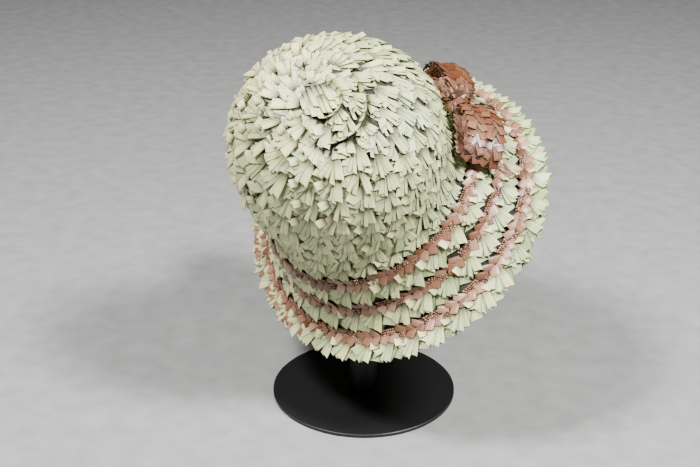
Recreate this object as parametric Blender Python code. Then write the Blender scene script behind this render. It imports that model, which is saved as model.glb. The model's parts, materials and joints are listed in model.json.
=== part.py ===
"""Poke bonnet of sewn straw plait with copper bands and a bow, on a plain round display stand.

Units are metres, +Z is up, and the origin is the centre of the stand's underside.
The bonnet is a deep bulb (crown) on a flaring brim. Both are rows of fancy straw plait,
each row overlapping the next like a shingle, so every row is a shallow rising step with
a toothed lip. All its pieces are laid out in the coordinates of one surface: the distance
from the crown's tip along the profile, the turn about the axis, and the height above it.
"""
import math

import bmesh
import bpy
import numpy as np
from mathutils import Vector
from mathutils.bvhtree import BVHTree

# Fits
GAP = 0.0003                 # free space between pieces that touch

# Bonnet, whole
RIM_RADIUS = 0.1826          # mean radius of the brim's edge
CROWN_RADIUS = 0.1087        # radius of the bulb
BONNET_DEPTH = 0.2056        # rim's plane to the crown's tip, along the axis
TILT = math.radians(45.3)    # of the axis from upright
HEADING = math.radians(-137.8)   # compass turn of the axis, from +X
RIM_CENTRE = (0.0323, 0.0411, 0.2099)
CROWN_FLATNESS = 0.856       # power of the dome's curve, below 1 for a blunter tip

# Bend of the crown over the brim
LEAN = 0.0427
LEAN_TURN = math.radians(-35.3)
LEAN_POWER = 3.289

# Outline of the brim
PEAK_SHARE = 0.055           # how far the brim stands out to one side
PEAK_TURN = math.radians(-138.0)
OVAL_SHARE = 0.078           # longer one way than the other
OVAL_TURN = math.radians(-63.0)
SADDLE_HEIGHT = 0.0057       # rise and fall round the rim
SADDLE_TURN = math.radians(-77.0)
DIP_SHARE = 0.055            # the pinch behind the bow
DIP_TURN = math.radians(63.0)
DIP_SPREAD = math.radians(26.0)

# The waist is shallow on the side away from the bow
FILL_SHARE = 0.75            # of the way from the waist out to a straight slope
FILL_TURN = math.radians(-105.0)
FILL_SPREAD = math.radians(85.0)

# Crease that sets off the coiled tip
CREASE_DEPTH = 0.0040
CREASE_RADIUS = 0.046
CREASE_WIDTH = 0.008
CREASE_TURN = math.radians(-30.0)
CREASE_SPREAD = math.radians(85.0)

# Straw rows
STRAW_WALL = 0.0014
ROW_LIP = 0.0016
ROW_WIDTH = 0.0195
TOOTH_DEPTH = 0.0045
NOTCH_SHARE = 0.55           # height of a notch, of the lip's
STEP_RUN = 0.0004
TEETH = 32

# Copper bands
BAND_WIDTH = 0.0140
BAND_THICKNESS = 0.0018
RIM_BAND_WIDTH = 0.0050
RIM_BAND_START = math.radians(116.0)
RIM_BAND_END = math.radians(220.0)

# Bow
BOW_TURN = math.radians(8.0)
PLAIT_THICKNESS = 0.0016
KNOT_LENGTH = 0.0090
KNOT_SHIFT = -0.0060         # of the bow's waist, from the shoulder towards the crown
KNOT_WIDTH = 0.0250
KNOT_HEIGHT = 0.0120
LOWER_LOOP_LENGTH = 0.0680
LOWER_LOOP_HEIGHT = 0.0230
LOWER_LOOP_WIDTH = 0.0370
UPPER_LOOP_LENGTH = 0.0640
UPPER_LOOP_HEIGHT = 0.0215
UPPER_LOOP_WIDTH = 0.0300
TAIL_WIDTH = 0.0055
TAIL_THICKNESS = 0.0018

# Stand
BASE_RADIUS = 0.1000
BASE_THICKNESS = 0.0040
BASE_BEVEL = 0.0006
POST_RADIUS = 0.0148
CAP_RADIUS = 0.0340
CAP_EDGE = 0.0100            # least thickness of the hidden cap under the crown

# Facets
BASE_SIDES = 64
POST_SIDES = 24
CAP_RINGS = 5
DOME_STEPS = 24
SPAN_STEPS = 12

# Sections of the wall below the dome. Height is a share of BONNET_DEPTH, bulb a share of
# CROWN_RADIUS, and flare a share of what RIM_RADIUS has over CROWN_RADIUS.
SECTIONS = [
    # name          height   bulb    flare
    ("bulb",        0.5708,  1.000,  0.000),
    ("under",       0.4609,  0.915,  0.000),
    ("neck",        0.3900,  0.862,  0.000),
    ("root",        0.3550,  0.890,  0.000),
    ("shelf",       0.3205,  1.000,  0.000),
    ("inner_band",  0.2798,  1.000,  0.202),
    ("wall",        0.2150,  1.000,  0.312),
    ("middle_band", 0.1414,  1.000,  0.386),
    ("flare",       0.0780,  1.000,  0.509),
    ("outer_band",  0.0328,  1.000,  0.680),
    ("rim",         0.0000,  1.000,  1.000),
]

# Pieces of the crown, which meet at seams between rows: the last row of each as a share
# of all the crown's rows
CROWN_PARTS = [
    # name          last row
    ("crown_tip",   0.25),
    ("crown_dome",  0.62),
    ("crown_side",  1.00),
]

# Pieces of the brim. Each is one run: a copper band and then one row of straw, up to the next
BRIM_RUNS = [
    # name           from           to             band
    ("brim_inner",   "inner_band",  "middle_band", "band_inner"),
    ("brim_middle",  "middle_band", "outer_band",  "band_middle"),
    ("brim_outer",   "outer_band",  "rim",         "band_outer"),
]

# Course of a bow loop, from the knot out and back. Along is a share of the loop's length,
# up of its height, and sway shifts the plait sideways by a share of its width.
LOWER_LOOP = [
    # along  up     sway   width
    (0.02,   0.55,  -0.06, 0.66),
    (0.18,   0.82,  0.04,  0.84),
    (0.42,   1.00,  0.10,  1.00),
    (0.70,   0.97,  0.11,  1.00),
    (0.92,   0.70,  0.08,  0.96),
    (1.00,   0.36,  0.00,  0.92),
    (0.90,   0.08,  -0.08, 0.88),
    (0.62,   0.02,  -0.11, 0.88),
    (0.34,   0.05,  -0.11, 0.82),
    (0.10,   0.10,  -0.10, 0.70),
]
UPPER_LOOP = [
    # along  up     sway   width
    (0.02,   0.55,  -0.20, 0.76),
    (0.16,   0.84,  -0.06, 0.92),
    (0.36,   0.92,  0.04,  1.00),
    (0.58,   1.00,  0.10,  1.04),
    (0.82,   0.96,  0.12,  1.04),
    (0.98,   0.66,  0.10,  1.00),
    (1.00,   0.34,  0.06,  0.94),
    (0.88,   0.08,  0.00,  0.90),
    (0.60,   0.02,  -0.08, 0.94),
    (0.32,   0.05,  -0.16, 0.90),
    (0.10,   0.10,  -0.20, 0.78),
]

# Course of a tail on the brim: turn from the bow in shares of the lower loop's length,
# and the way out in shares of the run from the inner to the outer band.
SHORT_TAIL = [
    # turn    out
    (0.24,    0.50),
    (0.20,    0.66),
    (0.21,    0.84),
    (0.34,    0.965),
]
LONG_TAIL = [
    # turn    out
    (0.70,    0.34),
    (0.93,    0.58),
    (0.95,    0.80),
    (0.77,    0.965),
]
TAIL_STEPS = 5

COLOURS = {
    # name     red    green  blue   roughness metallic
    "straw":  (0.62,  0.63,  0.49,  0.62,     0.0),
    "copper": (0.44,  0.25,  0.17,  0.45,     0.0),
    "black":  (0.015, 0.015, 0.016, 0.42,     0.0),
}


def clear_scene():
    for item in list(bpy.data.objects):
        bpy.data.objects.remove(item, do_unlink=True)


def material(name):
    red, green, blue, roughness, metallic = COLOURS[name]
    made = bpy.data.materials.new(name)
    made.use_nodes = True
    shader = made.node_tree.nodes["Principled BSDF"]
    shader.inputs["Base Color"].default_value = (red, green, blue, 1.0)
    shader.inputs["Roughness"].default_value = roughness
    shader.inputs["Metallic"].default_value = metallic
    return made


def add_object(name, points, faces, material_name):
    mesh = bpy.data.meshes.new(name)
    mesh.from_pydata([tuple(p) for p in points], [], faces)
    solid = bmesh.new()
    solid.from_mesh(mesh)
    bmesh.ops.recalc_face_normals(solid, faces=solid.faces)
    solid.to_mesh(mesh)
    solid.free()
    mesh.materials.append(material(material_name))
    made = bpy.data.objects.new(name, mesh)
    bpy.context.collection.objects.link(made)
    return made


def smooth_curve(points, steps, closed=False):
    """A curve through the rows of points, with a chord-spaced parameter."""
    points = np.asarray(points, float)
    count = len(points)
    if closed:
        points = np.vstack([points[-1:], points, points[:2]])
    else:
        points = np.vstack([2 * points[0] - points[1], points, 2 * points[-1] - points[-2]])
    spans = count if closed else count - 1
    knots = np.concatenate([[0.0], np.cumsum(np.linalg.norm(np.diff(points, axis=0), axis=1))])
    out = []
    for span in range(spans):
        before, start, end, after = points[span:span + 4]
        k0, k1, k2, k3 = knots[span:span + 4]
        leave = (end - before) / (k2 - k0) * (k2 - k1)
        reach = (after - start) / (k3 - k1) * (k2 - k1)
        for step in range(steps):
            t = step / steps
            out.append((2 * t**3 - 3 * t**2 + 1) * start + (t**3 - 2 * t**2 + t) * leave
                       + (3 * t**2 - 2 * t**3) * end + (t**3 - t**2) * reach)
    if not closed:
        out.append(points[-2])
    return np.array(out)


class Surface:
    """The straw's foot surface, by distance from the tip, turn and height above it."""

    def __init__(self):
        radii = {name: bulb * CROWN_RADIUS + flare * (RIM_RADIUS - CROWN_RADIUS)
                 for name, _, bulb, flare in SECTIONS}
        heights = {name: height * BONNET_DEPTH for name, height, _, _ in SECTIONS}
        quarter = np.linspace(0.0, math.pi / 2, DOME_STEPS + 1)[:-1]
        dome_height = BONNET_DEPTH - heights["bulb"]
        dome = np.stack([heights["bulb"] + dome_height * np.cos(quarter)**CROWN_FLATNESS,
                         CROWN_RADIUS * np.sin(quarter)], 1)
        wall = smooth_curve([(heights[row[0]], radii[row[0]]) for row in SECTIONS], SPAN_STEPS)
        profile = np.vstack([dome, wall])
        self.distance = np.concatenate(
            [[0.0], np.cumsum(np.linalg.norm(np.diff(profile, axis=0), axis=1))])
        self.height = profile[:, 0]
        self.radius = profile[:, 1]
        self.at = {row[0]: self.distance[DOME_STEPS + SPAN_STEPS * index]
                   for index, row in enumerate(SECTIONS)}
        self.neck_radius = radii["neck"]
        self.slope = np.array([(heights[name], radii[name]) for name in ("inner_band", "bulb")]).T
        self.axis = Vector((math.sin(TILT) * math.cos(HEADING),
                            math.sin(TILT) * math.sin(HEADING), math.cos(TILT)))
        self.turn = np.array(Vector((0, 0, 1)).rotation_difference(self.axis).to_matrix())

    def foot(self, distance, turn):
        """World points on the foot surface for arrays of distance and turn."""
        distance, turn = np.broadcast_arrays(np.asarray(distance, float), np.asarray(turn, float))
        height = np.interp(distance, self.distance, self.height)
        radius = np.interp(distance, self.distance, self.radius)
        past = distance - self.distance[-1]
        radius = radius + np.maximum(past, 0.0)
        flare = np.clip((radius - self.neck_radius) / (RIM_RADIUS - self.neck_radius), 0.0, 1.2)
        flare = np.where(distance > self.at["neck"], flare, 0.0)
        away = np.angle(np.exp(1j * (turn - DIP_TURN)))
        outline = (PEAK_SHARE * np.cos(turn - PEAK_TURN)
                   + OVAL_SHARE * np.cos(2 * (turn - OVAL_TURN))
                   - DIP_SHARE * flare * np.exp(-(away / DIP_SPREAD)**2))
        radius = self.filled(distance, turn, height, radius) * (1 + flare * outline)
        lift = flare**2 * SADDLE_HEIGHT * np.cos(2 * (turn - SADDLE_TURN))
        share = np.clip(height / BONNET_DEPTH, 0.001, 1.0)
        lean = LEAN * share**LEAN_POWER
        slope = LEAN * LEAN_POWER * share**(LEAN_POWER - 1) / BONNET_DEPTH
        side = radius * np.cos(turn - LEAN_TURN)
        across = radius * np.sin(turn - LEAN_TURN)
        flat = 1 / np.sqrt(1 + slope**2)
        along = side * flat + lift * slope * flat + lean
        up = height - side * slope * flat + lift * flat
        local = np.stack([along * math.cos(LEAN_TURN) - across * math.sin(LEAN_TURN),
                          along * math.sin(LEAN_TURN) + across * math.cos(LEAN_TURN), up], -1)
        return local @ self.turn.T + np.array(RIM_CENTRE)

    def filled(self, distance, turn, height, radius):
        """Radii with the waist filled towards a straight slope, away from the bow."""
        away = np.angle(np.exp(1j * (turn - FILL_TURN)))
        straight = np.interp(height, *self.slope)
        waist = (distance > self.at["bulb"]) & (distance < self.at["inner_band"])
        fill = FILL_SHARE * np.exp(-(away / FILL_SPREAD)**4) * np.maximum(straight - radius, 0.0)
        return radius + np.where(waist, fill, 0.0)

    def normal(self, distance, turn):
        reach = 0.0004
        distance, turn = np.broadcast_arrays(np.asarray(distance, float), np.asarray(turn, float))
        safe = np.maximum(distance, 2 * reach)
        along = self.foot(safe + reach, turn) - self.foot(safe - reach, turn)
        step = 0.004
        round_it = self.foot(safe, turn + step) - self.foot(safe, turn - step)
        out = np.cross(along, round_it)
        return out / np.linalg.norm(out, axis=-1, keepdims=True)

    def dent(self, distance, turn):
        """Depth of the crease round the coiled tip."""
        away = np.angle(np.exp(1j * (turn - CREASE_TURN)))
        return (CREASE_DEPTH * np.exp(-((distance - CREASE_RADIUS) / CREASE_WIDTH)**2)
                * np.exp(-(away / CREASE_SPREAD)**4))

    def point(self, distance, turn, height):
        distance, turn, height = np.broadcast_arrays(
            np.asarray(distance, float), np.asarray(turn, float), np.asarray(height, float))
        lift = (height - self.dent(distance, turn))[..., None]
        return self.foot(distance, turn) + self.normal(distance, turn) * lift

    def width_at(self, distance):
        """Radius of the ring at a distance, to turn lengths round it into turns."""
        return float(np.interp(distance, self.distance, self.radius))


def ring_turns():
    return np.arange(2 * TEETH) * (math.pi / TEETH)


def plain_ring(surface, distance, height):
    return surface.point(distance, ring_turns(), height)


def toothed_ring(surface, distance, height, base=0.0):
    """A row's lip: teeth reach the full distance, and the notches between stop short."""
    notch = np.arange(2 * TEETH) % 2
    distances = distance - notch * TOOTH_DEPTH
    heights = base + (height - base) * np.where(notch, NOTCH_SHARE, 1.0)
    return surface.point(distances, ring_turns(), heights)


def loft(rings, close_rings, start=None, end=None):
    """Points and triangles of a skin over rings of equal count.

    With close_rings the last ring joins the first. Otherwise start and end may give a
    single point that closes each end.
    """
    count = len(rings[0])
    points = [p for ring in rings for p in ring]
    faces = []
    spans = len(rings) if close_rings else len(rings) - 1
    for index in range(spans):
        low = index * count
        high = ((index + 1) % len(rings)) * count
        for k in range(count):
            after = (k + 1) % count
            faces.append((low + k, high + k, high + after))
            faces.append((low + k, high + after, low + after))
    if start is not None:
        pole = len(points)
        points.append(start)
        faces += [(pole, k, (k + 1) % count) for k in range(count)]
    if end is not None:
        pole = len(points)
        points.append(end)
        low = (len(rings) - 1) * count
        faces += [(pole, low + (k + 1) % count, low + k) for k in range(count)]
    return points, faces


def capped_prism(name, rings, material_name):
    """A strip with two flat ends, lofted over rings of four corners."""
    points, faces = loft(rings, False)
    last = (len(rings) - 1) * 4
    faces += [(0, 1, 2), (0, 2, 3), (last, last + 2, last + 1), (last, last + 3, last + 2)]
    return add_object(name, points, faces, material_name)


def crown_row_ends(surface):
    last = surface.at["inner_band"] - BAND_WIDTH / 2
    rows = max(3, round(last / ROW_WIDTH))
    return np.linspace(0.0, last - GAP, rows + 1)[1:]


def crown_parts(surface):
    """Name of each crown piece and the distances of its rows' ends, its start first."""
    ends = np.concatenate([[0.0], crown_row_ends(surface)])
    first = 0
    parts = []
    for name, share in CROWN_PARTS:
        last = round(share * (len(ends) - 1))
        parts.append((name, ends[first:last + 1]))
        first = last
    return parts


def build_crown_part(surface, name, ends):
    """Shingled rows outside and smooth inside, from one seam between rows to the next."""
    tip = ends[0] == 0.0
    start = 0.0 if tip else ends[0] + GAP
    outer = [] if tip else [plain_ring(surface, start, 0.0)]
    inner = [] if tip else [plain_ring(surface, start, -STRAW_WALL)]
    for end in ends[1:]:
        outer.append(toothed_ring(surface, end, ROW_LIP))
        inner.append(plain_ring(surface, end, -STRAW_WALL))
        foot = end + (0.0 if end == ends[-1] else STEP_RUN)
        outer.append(plain_ring(surface, foot, 0.0))
    rings = outer + inner[::-1]
    if tip:
        points, faces = loft(rings, False, surface.point(0.0, 0.0, 0.0),
                             surface.point(0.0, 0.0, -STRAW_WALL))
    else:
        points, faces = loft(rings, True)
    return add_object(name, points, faces, "straw")


def crown_inside(surface):
    """The crown's inner skin as one open mesh, to fit the cap to."""
    stops = np.unique(np.concatenate([ends for _, ends in crown_parts(surface)]))
    rings = [plain_ring(surface, stop, -STRAW_WALL) for stop in stops[1:]]
    return loft(rings, False, surface.point(0.0, 0.0, -STRAW_WALL))


def run_ends(surface, run):
    """Distances where a run of the brim starts and ends."""
    _, first, last, _ = run
    start = surface.at[first] - BAND_WIDTH / 2
    end = surface.at[last] - (0.0 if last == "rim" else BAND_WIDTH / 2)
    return start, end


def ramp(surface, run, distance):
    """Height of a row's face above the foot surface, before its toothed lip."""
    start, end = run_ends(surface, run)
    return ROW_LIP * (distance - start) / (end - start)


def band_edges(surface, run):
    start, _ = run_ends(surface, run)
    return start + 2 * GAP, start + 2 * GAP + BAND_WIDTH


def build_brim_part(surface, run):
    """A flat foot for the copper band and a row of straw with a toothed lip."""
    name, _, last, _ = run
    start, end = run_ends(surface, run)
    _, edge = band_edges(surface, run)
    middle = (edge + end) / 2
    outer = [plain_ring(surface, start + GAP, 0.0)]
    for distance in (edge + 2 * GAP, middle):
        outer.append(plain_ring(surface, distance, ramp(surface, run, distance)))
    outer.append(toothed_ring(surface, end, ROW_LIP))
    if last == "rim":
        hem = end - TOOTH_DEPTH - STRAW_WALL
    else:
        hem = end
        outer.append(plain_ring(surface, end, 0.0))
    inner = [plain_ring(surface, distance, -STRAW_WALL) for distance in (start + GAP, edge, hem)]
    points, faces = loft(outer + inner[::-1], True)
    return add_object(name, points, faces, "straw")


def band_top(surface, run):
    """Height of a band's upper face above the foot surface, at its outer edge."""
    return ramp(surface, run, band_edges(surface, run)[1]) + GAP + BAND_THICKNESS


def build_band(surface, run):
    """A copper plait lying on the foot of a row, clear of the straw by the gap."""
    start, edge = band_edges(surface, run)
    bevel = BAND_THICKNESS / 2
    rings = [plain_ring(surface, distance, ramp(surface, run, distance) + height)
             for distance, height in ((start, GAP),
                                      (start + bevel, GAP + BAND_THICKNESS),
                                      (edge - bevel, GAP + BAND_THICKNESS),
                                      (edge, GAP))]
    points, faces = loft(rings, True)
    return add_object(run[3], points, faces, "copper")


def strip_corners(surface, distance, turn, height, half_width, thickness):
    """Four corners of a strip lying flat at one station of its course."""
    return [surface.point(distance - half_width, turn, height),
            surface.point(distance - half_width, turn, height + thickness),
            surface.point(distance + half_width, turn, height + thickness),
            surface.point(distance + half_width, turn, height)]


def build_rim_band(surface):
    """The last copper plait, which shows only on one side of the rim's row."""
    run = BRIM_RUNS[-1]
    _, edge = band_edges(surface, run)
    middle = (edge + surface.at["rim"]) / 2
    seat = ramp(surface, run, middle + RIM_BAND_WIDTH / 2) + GAP
    first = math.ceil(RIM_BAND_START / (math.pi / TEETH))
    last = math.floor(RIM_BAND_END / (math.pi / TEETH))
    rings = [strip_corners(surface, middle, index * math.pi / TEETH, seat,
                           RIM_BAND_WIDTH / 2, BAND_THICKNESS)
             for index in range(first, last + 1)]
    return capped_prism("band_rim", rings, "copper")


def bow_ring(surface):
    """Distance and radius of the shoulder on which the bow sits."""
    distance = surface.at["inner_band"]
    return distance, surface.width_at(distance)


def over_shoulder(surface, turn, out, height):
    """World points by turn, flat distance out across the shoulder, and height above it."""
    distance, _ = bow_ring(surface)
    reach = BAND_WIDTH
    inner = surface.foot(distance - reach, turn)
    outer = surface.foot(distance + reach, turn)
    across = (outer - inner) / np.linalg.norm(outer - inner, axis=-1, keepdims=True)
    normal = surface.normal(distance, turn)
    normal = normal - across * np.sum(normal * across, axis=-1, keepdims=True)
    normal /= np.linalg.norm(normal, axis=-1, keepdims=True)
    out = np.broadcast_to(np.asarray(out, float), np.shape(turn))[..., None]
    height = np.broadcast_to(np.asarray(height, float), np.shape(turn))[..., None]
    return surface.foot(distance, turn) + across * out + normal * height


def bow_seat(surface):
    """Height of the bow's underside, which lies on the flat band over the round shoulder."""
    distance, _ = bow_ring(surface)
    inner = surface.foot(distance - BAND_WIDTH / 2, BOW_TURN)
    outer = surface.foot(distance + BAND_WIDTH / 2, BOW_TURN)
    bulge = np.linalg.norm(surface.foot(distance, BOW_TURN) - (inner + outer) / 2)
    return band_top(surface, BRIM_RUNS[0]) + GAP - float(bulge)


def build_loop(surface, name, course, length, height, width, side):
    """A bow loop: a closed hoop of plait whose course stands on the brim."""
    _, radius = bow_ring(surface)
    course = smooth_curve(course, 2, closed=True)
    start = KNOT_LENGTH / 2 + GAP + PLAIT_THICKNESS / 2
    along = side * (start + (course[:, 0] - course[:, 0].min()) * length)
    rise = (course[:, 1] - course[:, 1].min()) * (height - PLAIT_THICKNESS)
    up = bow_seat(surface) + PLAIT_THICKNESS / 2 + rise
    ahead = np.stack([np.roll(along, -1) - np.roll(along, 1),
                      np.roll(up, -1) - np.roll(up, 1)], 1)
    ahead /= np.linalg.norm(ahead, axis=1, keepdims=True)
    normal = np.stack([-ahead[:, 1], ahead[:, 0]], 1) * (PLAIT_THICKNESS / 2)
    rings = []
    for sign, edge in ((1, -0.5), (1, 0.5), (-1, 0.5), (-1, -0.5)):
        out = width * (course[:, 2] + edge * course[:, 3])
        place = along + sign * normal[:, 0]
        rise = up + sign * normal[:, 1]
        rings.append(over_shoulder(surface, BOW_TURN + place / radius, out, rise))
    if side > 0:
        rings.reverse()
    points, faces = loft(rings, True)
    return add_object(name, points, faces, "copper")


def build_knot(surface):
    """The gathered waist between the two loops."""
    _, radius = bow_ring(surface)
    half = KNOT_WIDTH / 2
    waist = [(-half, 0.15), (-half * 0.6, 0.8), (0.0, 1.0), (half * 0.6, 0.8), (half, 0.15),
             (half * 0.8, 0.0), (-half * 0.8, 0.0)]
    rings = []
    for along in (-0.5, 0.0, 0.5):
        pinch = 0.86 if along == 0.0 else 1.0
        turn = np.full(len(waist), BOW_TURN + along * KNOT_LENGTH / radius)
        out, up = np.array(waist).T * pinch
        rings.append(over_shoulder(surface, turn, KNOT_SHIFT + out,
                                   bow_seat(surface) + up * KNOT_HEIGHT))
    points, faces = loft(rings, False, rings[0].mean(axis=0), rings[-1].mean(axis=0))
    return add_object("bow_knot", points, faces, "copper")


def build_tail(surface, name, course):
    """A narrow plait that runs from under the bow out to the outer band."""
    _, radius = bow_ring(surface)
    course = smooth_curve(course, TAIL_STEPS)
    run = surface.at["outer_band"] - surface.at["inner_band"]
    turns = BOW_TURN - course[:, 0] * LOWER_LOOP_LENGTH / radius
    outs = surface.at["inner_band"] + course[:, 1] * run
    seat = band_top(surface, BRIM_RUNS[1]) + GAP
    place = np.stack([turns * radius, outs], 1)
    ahead = np.gradient(place, axis=0)
    ahead /= np.linalg.norm(ahead, axis=1, keepdims=True)
    rings = []
    for index in range(len(outs)):
        side_turn = -ahead[index, 1] * TAIL_WIDTH / 2 / radius
        side_out = ahead[index, 0] * TAIL_WIDTH / 2
        corners = [surface.point(outs[index] + sign * side_out, turns[index] + sign * side_turn,
                                 seat + rise)
                   for sign, rise in ((1, 0.0), (1, TAIL_THICKNESS), (-1, TAIL_THICKNESS), (-1, 0.0))]
        rings.append(corners)
    return capped_prism(name, rings, "copper")


def disc_ring(radius, height, sides):
    turns = np.arange(sides) * (2 * math.pi / sides)
    return np.stack([radius * np.cos(turns), radius * np.sin(turns), np.full(sides, height)], 1)


def build_turned(name, stations, sides, material_name):
    """A round piece about the post's line, from radius and height pairs, top to bottom."""
    rings = [disc_ring(radius, height, sides) for radius, height in stations]
    points, faces = loft(rings, False, (0.0, 0.0, stations[0][1]), (0.0, 0.0, stations[-1][1]))
    return add_object(name, points, faces, material_name)


def build_cap(surface):
    """The hidden cap on the post, whose top fits the crown's inside with the gap."""
    skin = BVHTree.FromPolygons(*crown_inside(surface))
    up = Vector((0.0, 0.0, 1.0))

    def ceiling(x, y):
        start = Vector((x, y, RIM_CENTRE[2]))
        hit, normal, _, _ = skin.ray_cast(start, up)
        return hit.z - GAP / max(0.3, abs(normal.z))

    rings = []
    for index in range(1, CAP_RINGS + 1):
        ring = disc_ring(CAP_RADIUS * index / CAP_RINGS, 0.0, POST_SIDES)
        ring[:, 2] = [ceiling(x, y) for x, y, _ in ring]
        rings.append(ring)
    under = rings[-1][:, 2].min() - CAP_EDGE
    rings.append(disc_ring(CAP_RADIUS, under, POST_SIDES))
    points, faces = loft(rings, False, (0.0, 0.0, ceiling(0.0, 0.0)), (0.0, 0.0, under))
    add_object("stand_cap", points, faces, "black")
    return under


def build_stand(surface):
    under = build_cap(surface)
    build_turned("stand_post", [(POST_RADIUS, under - GAP), (POST_RADIUS, BASE_THICKNESS + GAP)],
                 POST_SIDES, "black")
    build_turned("stand_base",
                 [(BASE_RADIUS - BASE_BEVEL, BASE_THICKNESS),
                  (BASE_RADIUS, BASE_THICKNESS - BASE_BEVEL),
                  (BASE_RADIUS, BASE_BEVEL),
                  (BASE_RADIUS - BASE_BEVEL, 0.0)],
                 BASE_SIDES, "black")


def main():
    clear_scene()
    surface = Surface()
    for name, ends in crown_parts(surface):
        build_crown_part(surface, name, ends)
    for run in BRIM_RUNS:
        build_brim_part(surface, run)
        build_band(surface, run)
    build_rim_band(surface)
    build_loop(surface, "bow_lower_loop", LOWER_LOOP, LOWER_LOOP_LENGTH, LOWER_LOOP_HEIGHT,
               LOWER_LOOP_WIDTH, -1)
    build_loop(surface, "bow_upper_loop", UPPER_LOOP, UPPER_LOOP_LENGTH, UPPER_LOOP_HEIGHT,
               UPPER_LOOP_WIDTH, 1)
    build_knot(surface)
    build_tail(surface, "bow_tail_long", LONG_TAIL)
    build_tail(surface, "bow_tail_short", SHORT_TAIL)
    build_stand(surface)


main()
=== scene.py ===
"""Straw poke bonnet on a display stand: its plaited straw, copper bands, bow, finishes and stage.

Everything on the bonnet is laid out on one surface, by the distance from the crown's tip
along the profile, the turn about the axis, and the height above the straw's foot.
"""
import json
import math

import bmesh
import bpy
import numpy as np
from mathutils import Matrix, Vector

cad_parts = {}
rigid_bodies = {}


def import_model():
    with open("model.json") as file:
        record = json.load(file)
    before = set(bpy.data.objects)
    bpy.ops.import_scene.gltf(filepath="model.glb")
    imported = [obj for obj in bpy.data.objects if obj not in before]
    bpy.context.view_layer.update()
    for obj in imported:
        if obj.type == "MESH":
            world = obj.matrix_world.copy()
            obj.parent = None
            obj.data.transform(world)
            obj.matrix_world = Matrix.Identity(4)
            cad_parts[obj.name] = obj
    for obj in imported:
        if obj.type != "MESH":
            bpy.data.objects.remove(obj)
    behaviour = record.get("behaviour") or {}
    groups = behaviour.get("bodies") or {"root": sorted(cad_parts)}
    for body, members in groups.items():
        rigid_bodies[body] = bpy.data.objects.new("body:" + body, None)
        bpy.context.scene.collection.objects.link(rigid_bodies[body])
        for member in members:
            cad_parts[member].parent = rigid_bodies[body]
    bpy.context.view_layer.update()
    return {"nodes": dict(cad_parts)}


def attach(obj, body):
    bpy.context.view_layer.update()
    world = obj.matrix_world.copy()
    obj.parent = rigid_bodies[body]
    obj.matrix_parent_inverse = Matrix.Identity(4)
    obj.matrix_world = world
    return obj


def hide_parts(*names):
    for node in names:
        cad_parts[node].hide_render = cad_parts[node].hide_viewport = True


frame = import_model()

bl_info = {
    "name": "Straw Poke Bonnet",
    "version": (1, 0, 0),
    "blender": (4, 5, 0),
    "location": "3D View > Sidebar > Bonnet",
    "description": "Sews the straw, bands and bow of a poke bonnet over its solid model",
    "category": "Add Mesh",
}

# Sizes of the solid model, in metres, which the visible pieces follow
GAP = 0.0003
RIM_RADIUS = 0.1826
CROWN_RADIUS = 0.1087
BONNET_DEPTH = 0.2056
TILT = math.radians(45.3)
HEADING = math.radians(-137.8)
RIM_CENTRE = (0.0323, 0.0411, 0.2099)
CROWN_FLATNESS = 0.856
LEAN = 0.0427
LEAN_TURN = math.radians(-35.3)
LEAN_POWER = 3.289
PEAK_SHARE = 0.055
PEAK_TURN = math.radians(-138.0)
OVAL_SHARE = 0.078
OVAL_TURN = math.radians(-63.0)
SADDLE_HEIGHT = 0.0057
SADDLE_TURN = math.radians(-77.0)
DIP_SHARE = 0.055
DIP_TURN = math.radians(63.0)
DIP_SPREAD = math.radians(26.0)
FILL_SHARE = 0.75
FILL_TURN = math.radians(-105.0)
FILL_SPREAD = math.radians(85.0)
CREASE_DEPTH = 0.0040
CREASE_RADIUS = 0.046
CREASE_WIDTH = 0.008
CREASE_TURN = math.radians(-30.0)
CREASE_SPREAD = math.radians(85.0)
STRAW_WALL = 0.0014
ROW_LIP = 0.0016
ROW_WIDTH = 0.0195
BAND_WIDTH = 0.0140
BAND_THICKNESS = 0.0018
RIM_BAND_START = math.radians(116.0)
RIM_BAND_END = math.radians(220.0)
BOW_TURN = math.radians(8.0)
PLAIT_THICKNESS = 0.0016
KNOT_LENGTH = 0.0090
KNOT_SHIFT = -0.0060
KNOT_WIDTH = 0.0250
KNOT_HEIGHT = 0.0120
LOWER_LOOP_LENGTH = 0.0680
LOWER_LOOP_HEIGHT = 0.0230
LOWER_LOOP_WIDTH = 0.0370
UPPER_LOOP_LENGTH = 0.0640
UPPER_LOOP_HEIGHT = 0.0215
UPPER_LOOP_WIDTH = 0.0300
TAIL_WIDTH = 0.0055
DOME_STEPS = 24
SPAN_STEPS = 12

# How much deeper the crease looks than the solid's, and the straw left bare in it and by the tip,
# where the near-black foot shows as painted shade.
CREASE_LOOK = 1.5
CREASE_BARE = 0.0085
TIP_BARE = 0.0065

# The coiled tip, as seen from the front: the turns to the right and down, its visible rows'
# ends, and two strips of straw on edge, by turns in degrees and radii in metres
TIP_RIGHT = math.radians(8.0)
TIP_DOWN = math.radians(-82.0)
TIP_ENDS = (0.0160, 0.0290, 0.0430)
TIP_STRIPS = [
    ((48, 22, -4, -30, -56, -82, -108), (0.0175, 0.0180, 0.0185, 0.0190, 0.0190, 0.0185, 0.0180)),
    ((30, 16, 2, -12, -26, -40, -54, -68, -82, -96),
     (0.0400, 0.0410, 0.0420, 0.0425, 0.0430, 0.0430, 0.0430, 0.0425, 0.0420, 0.0410)),
]

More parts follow.
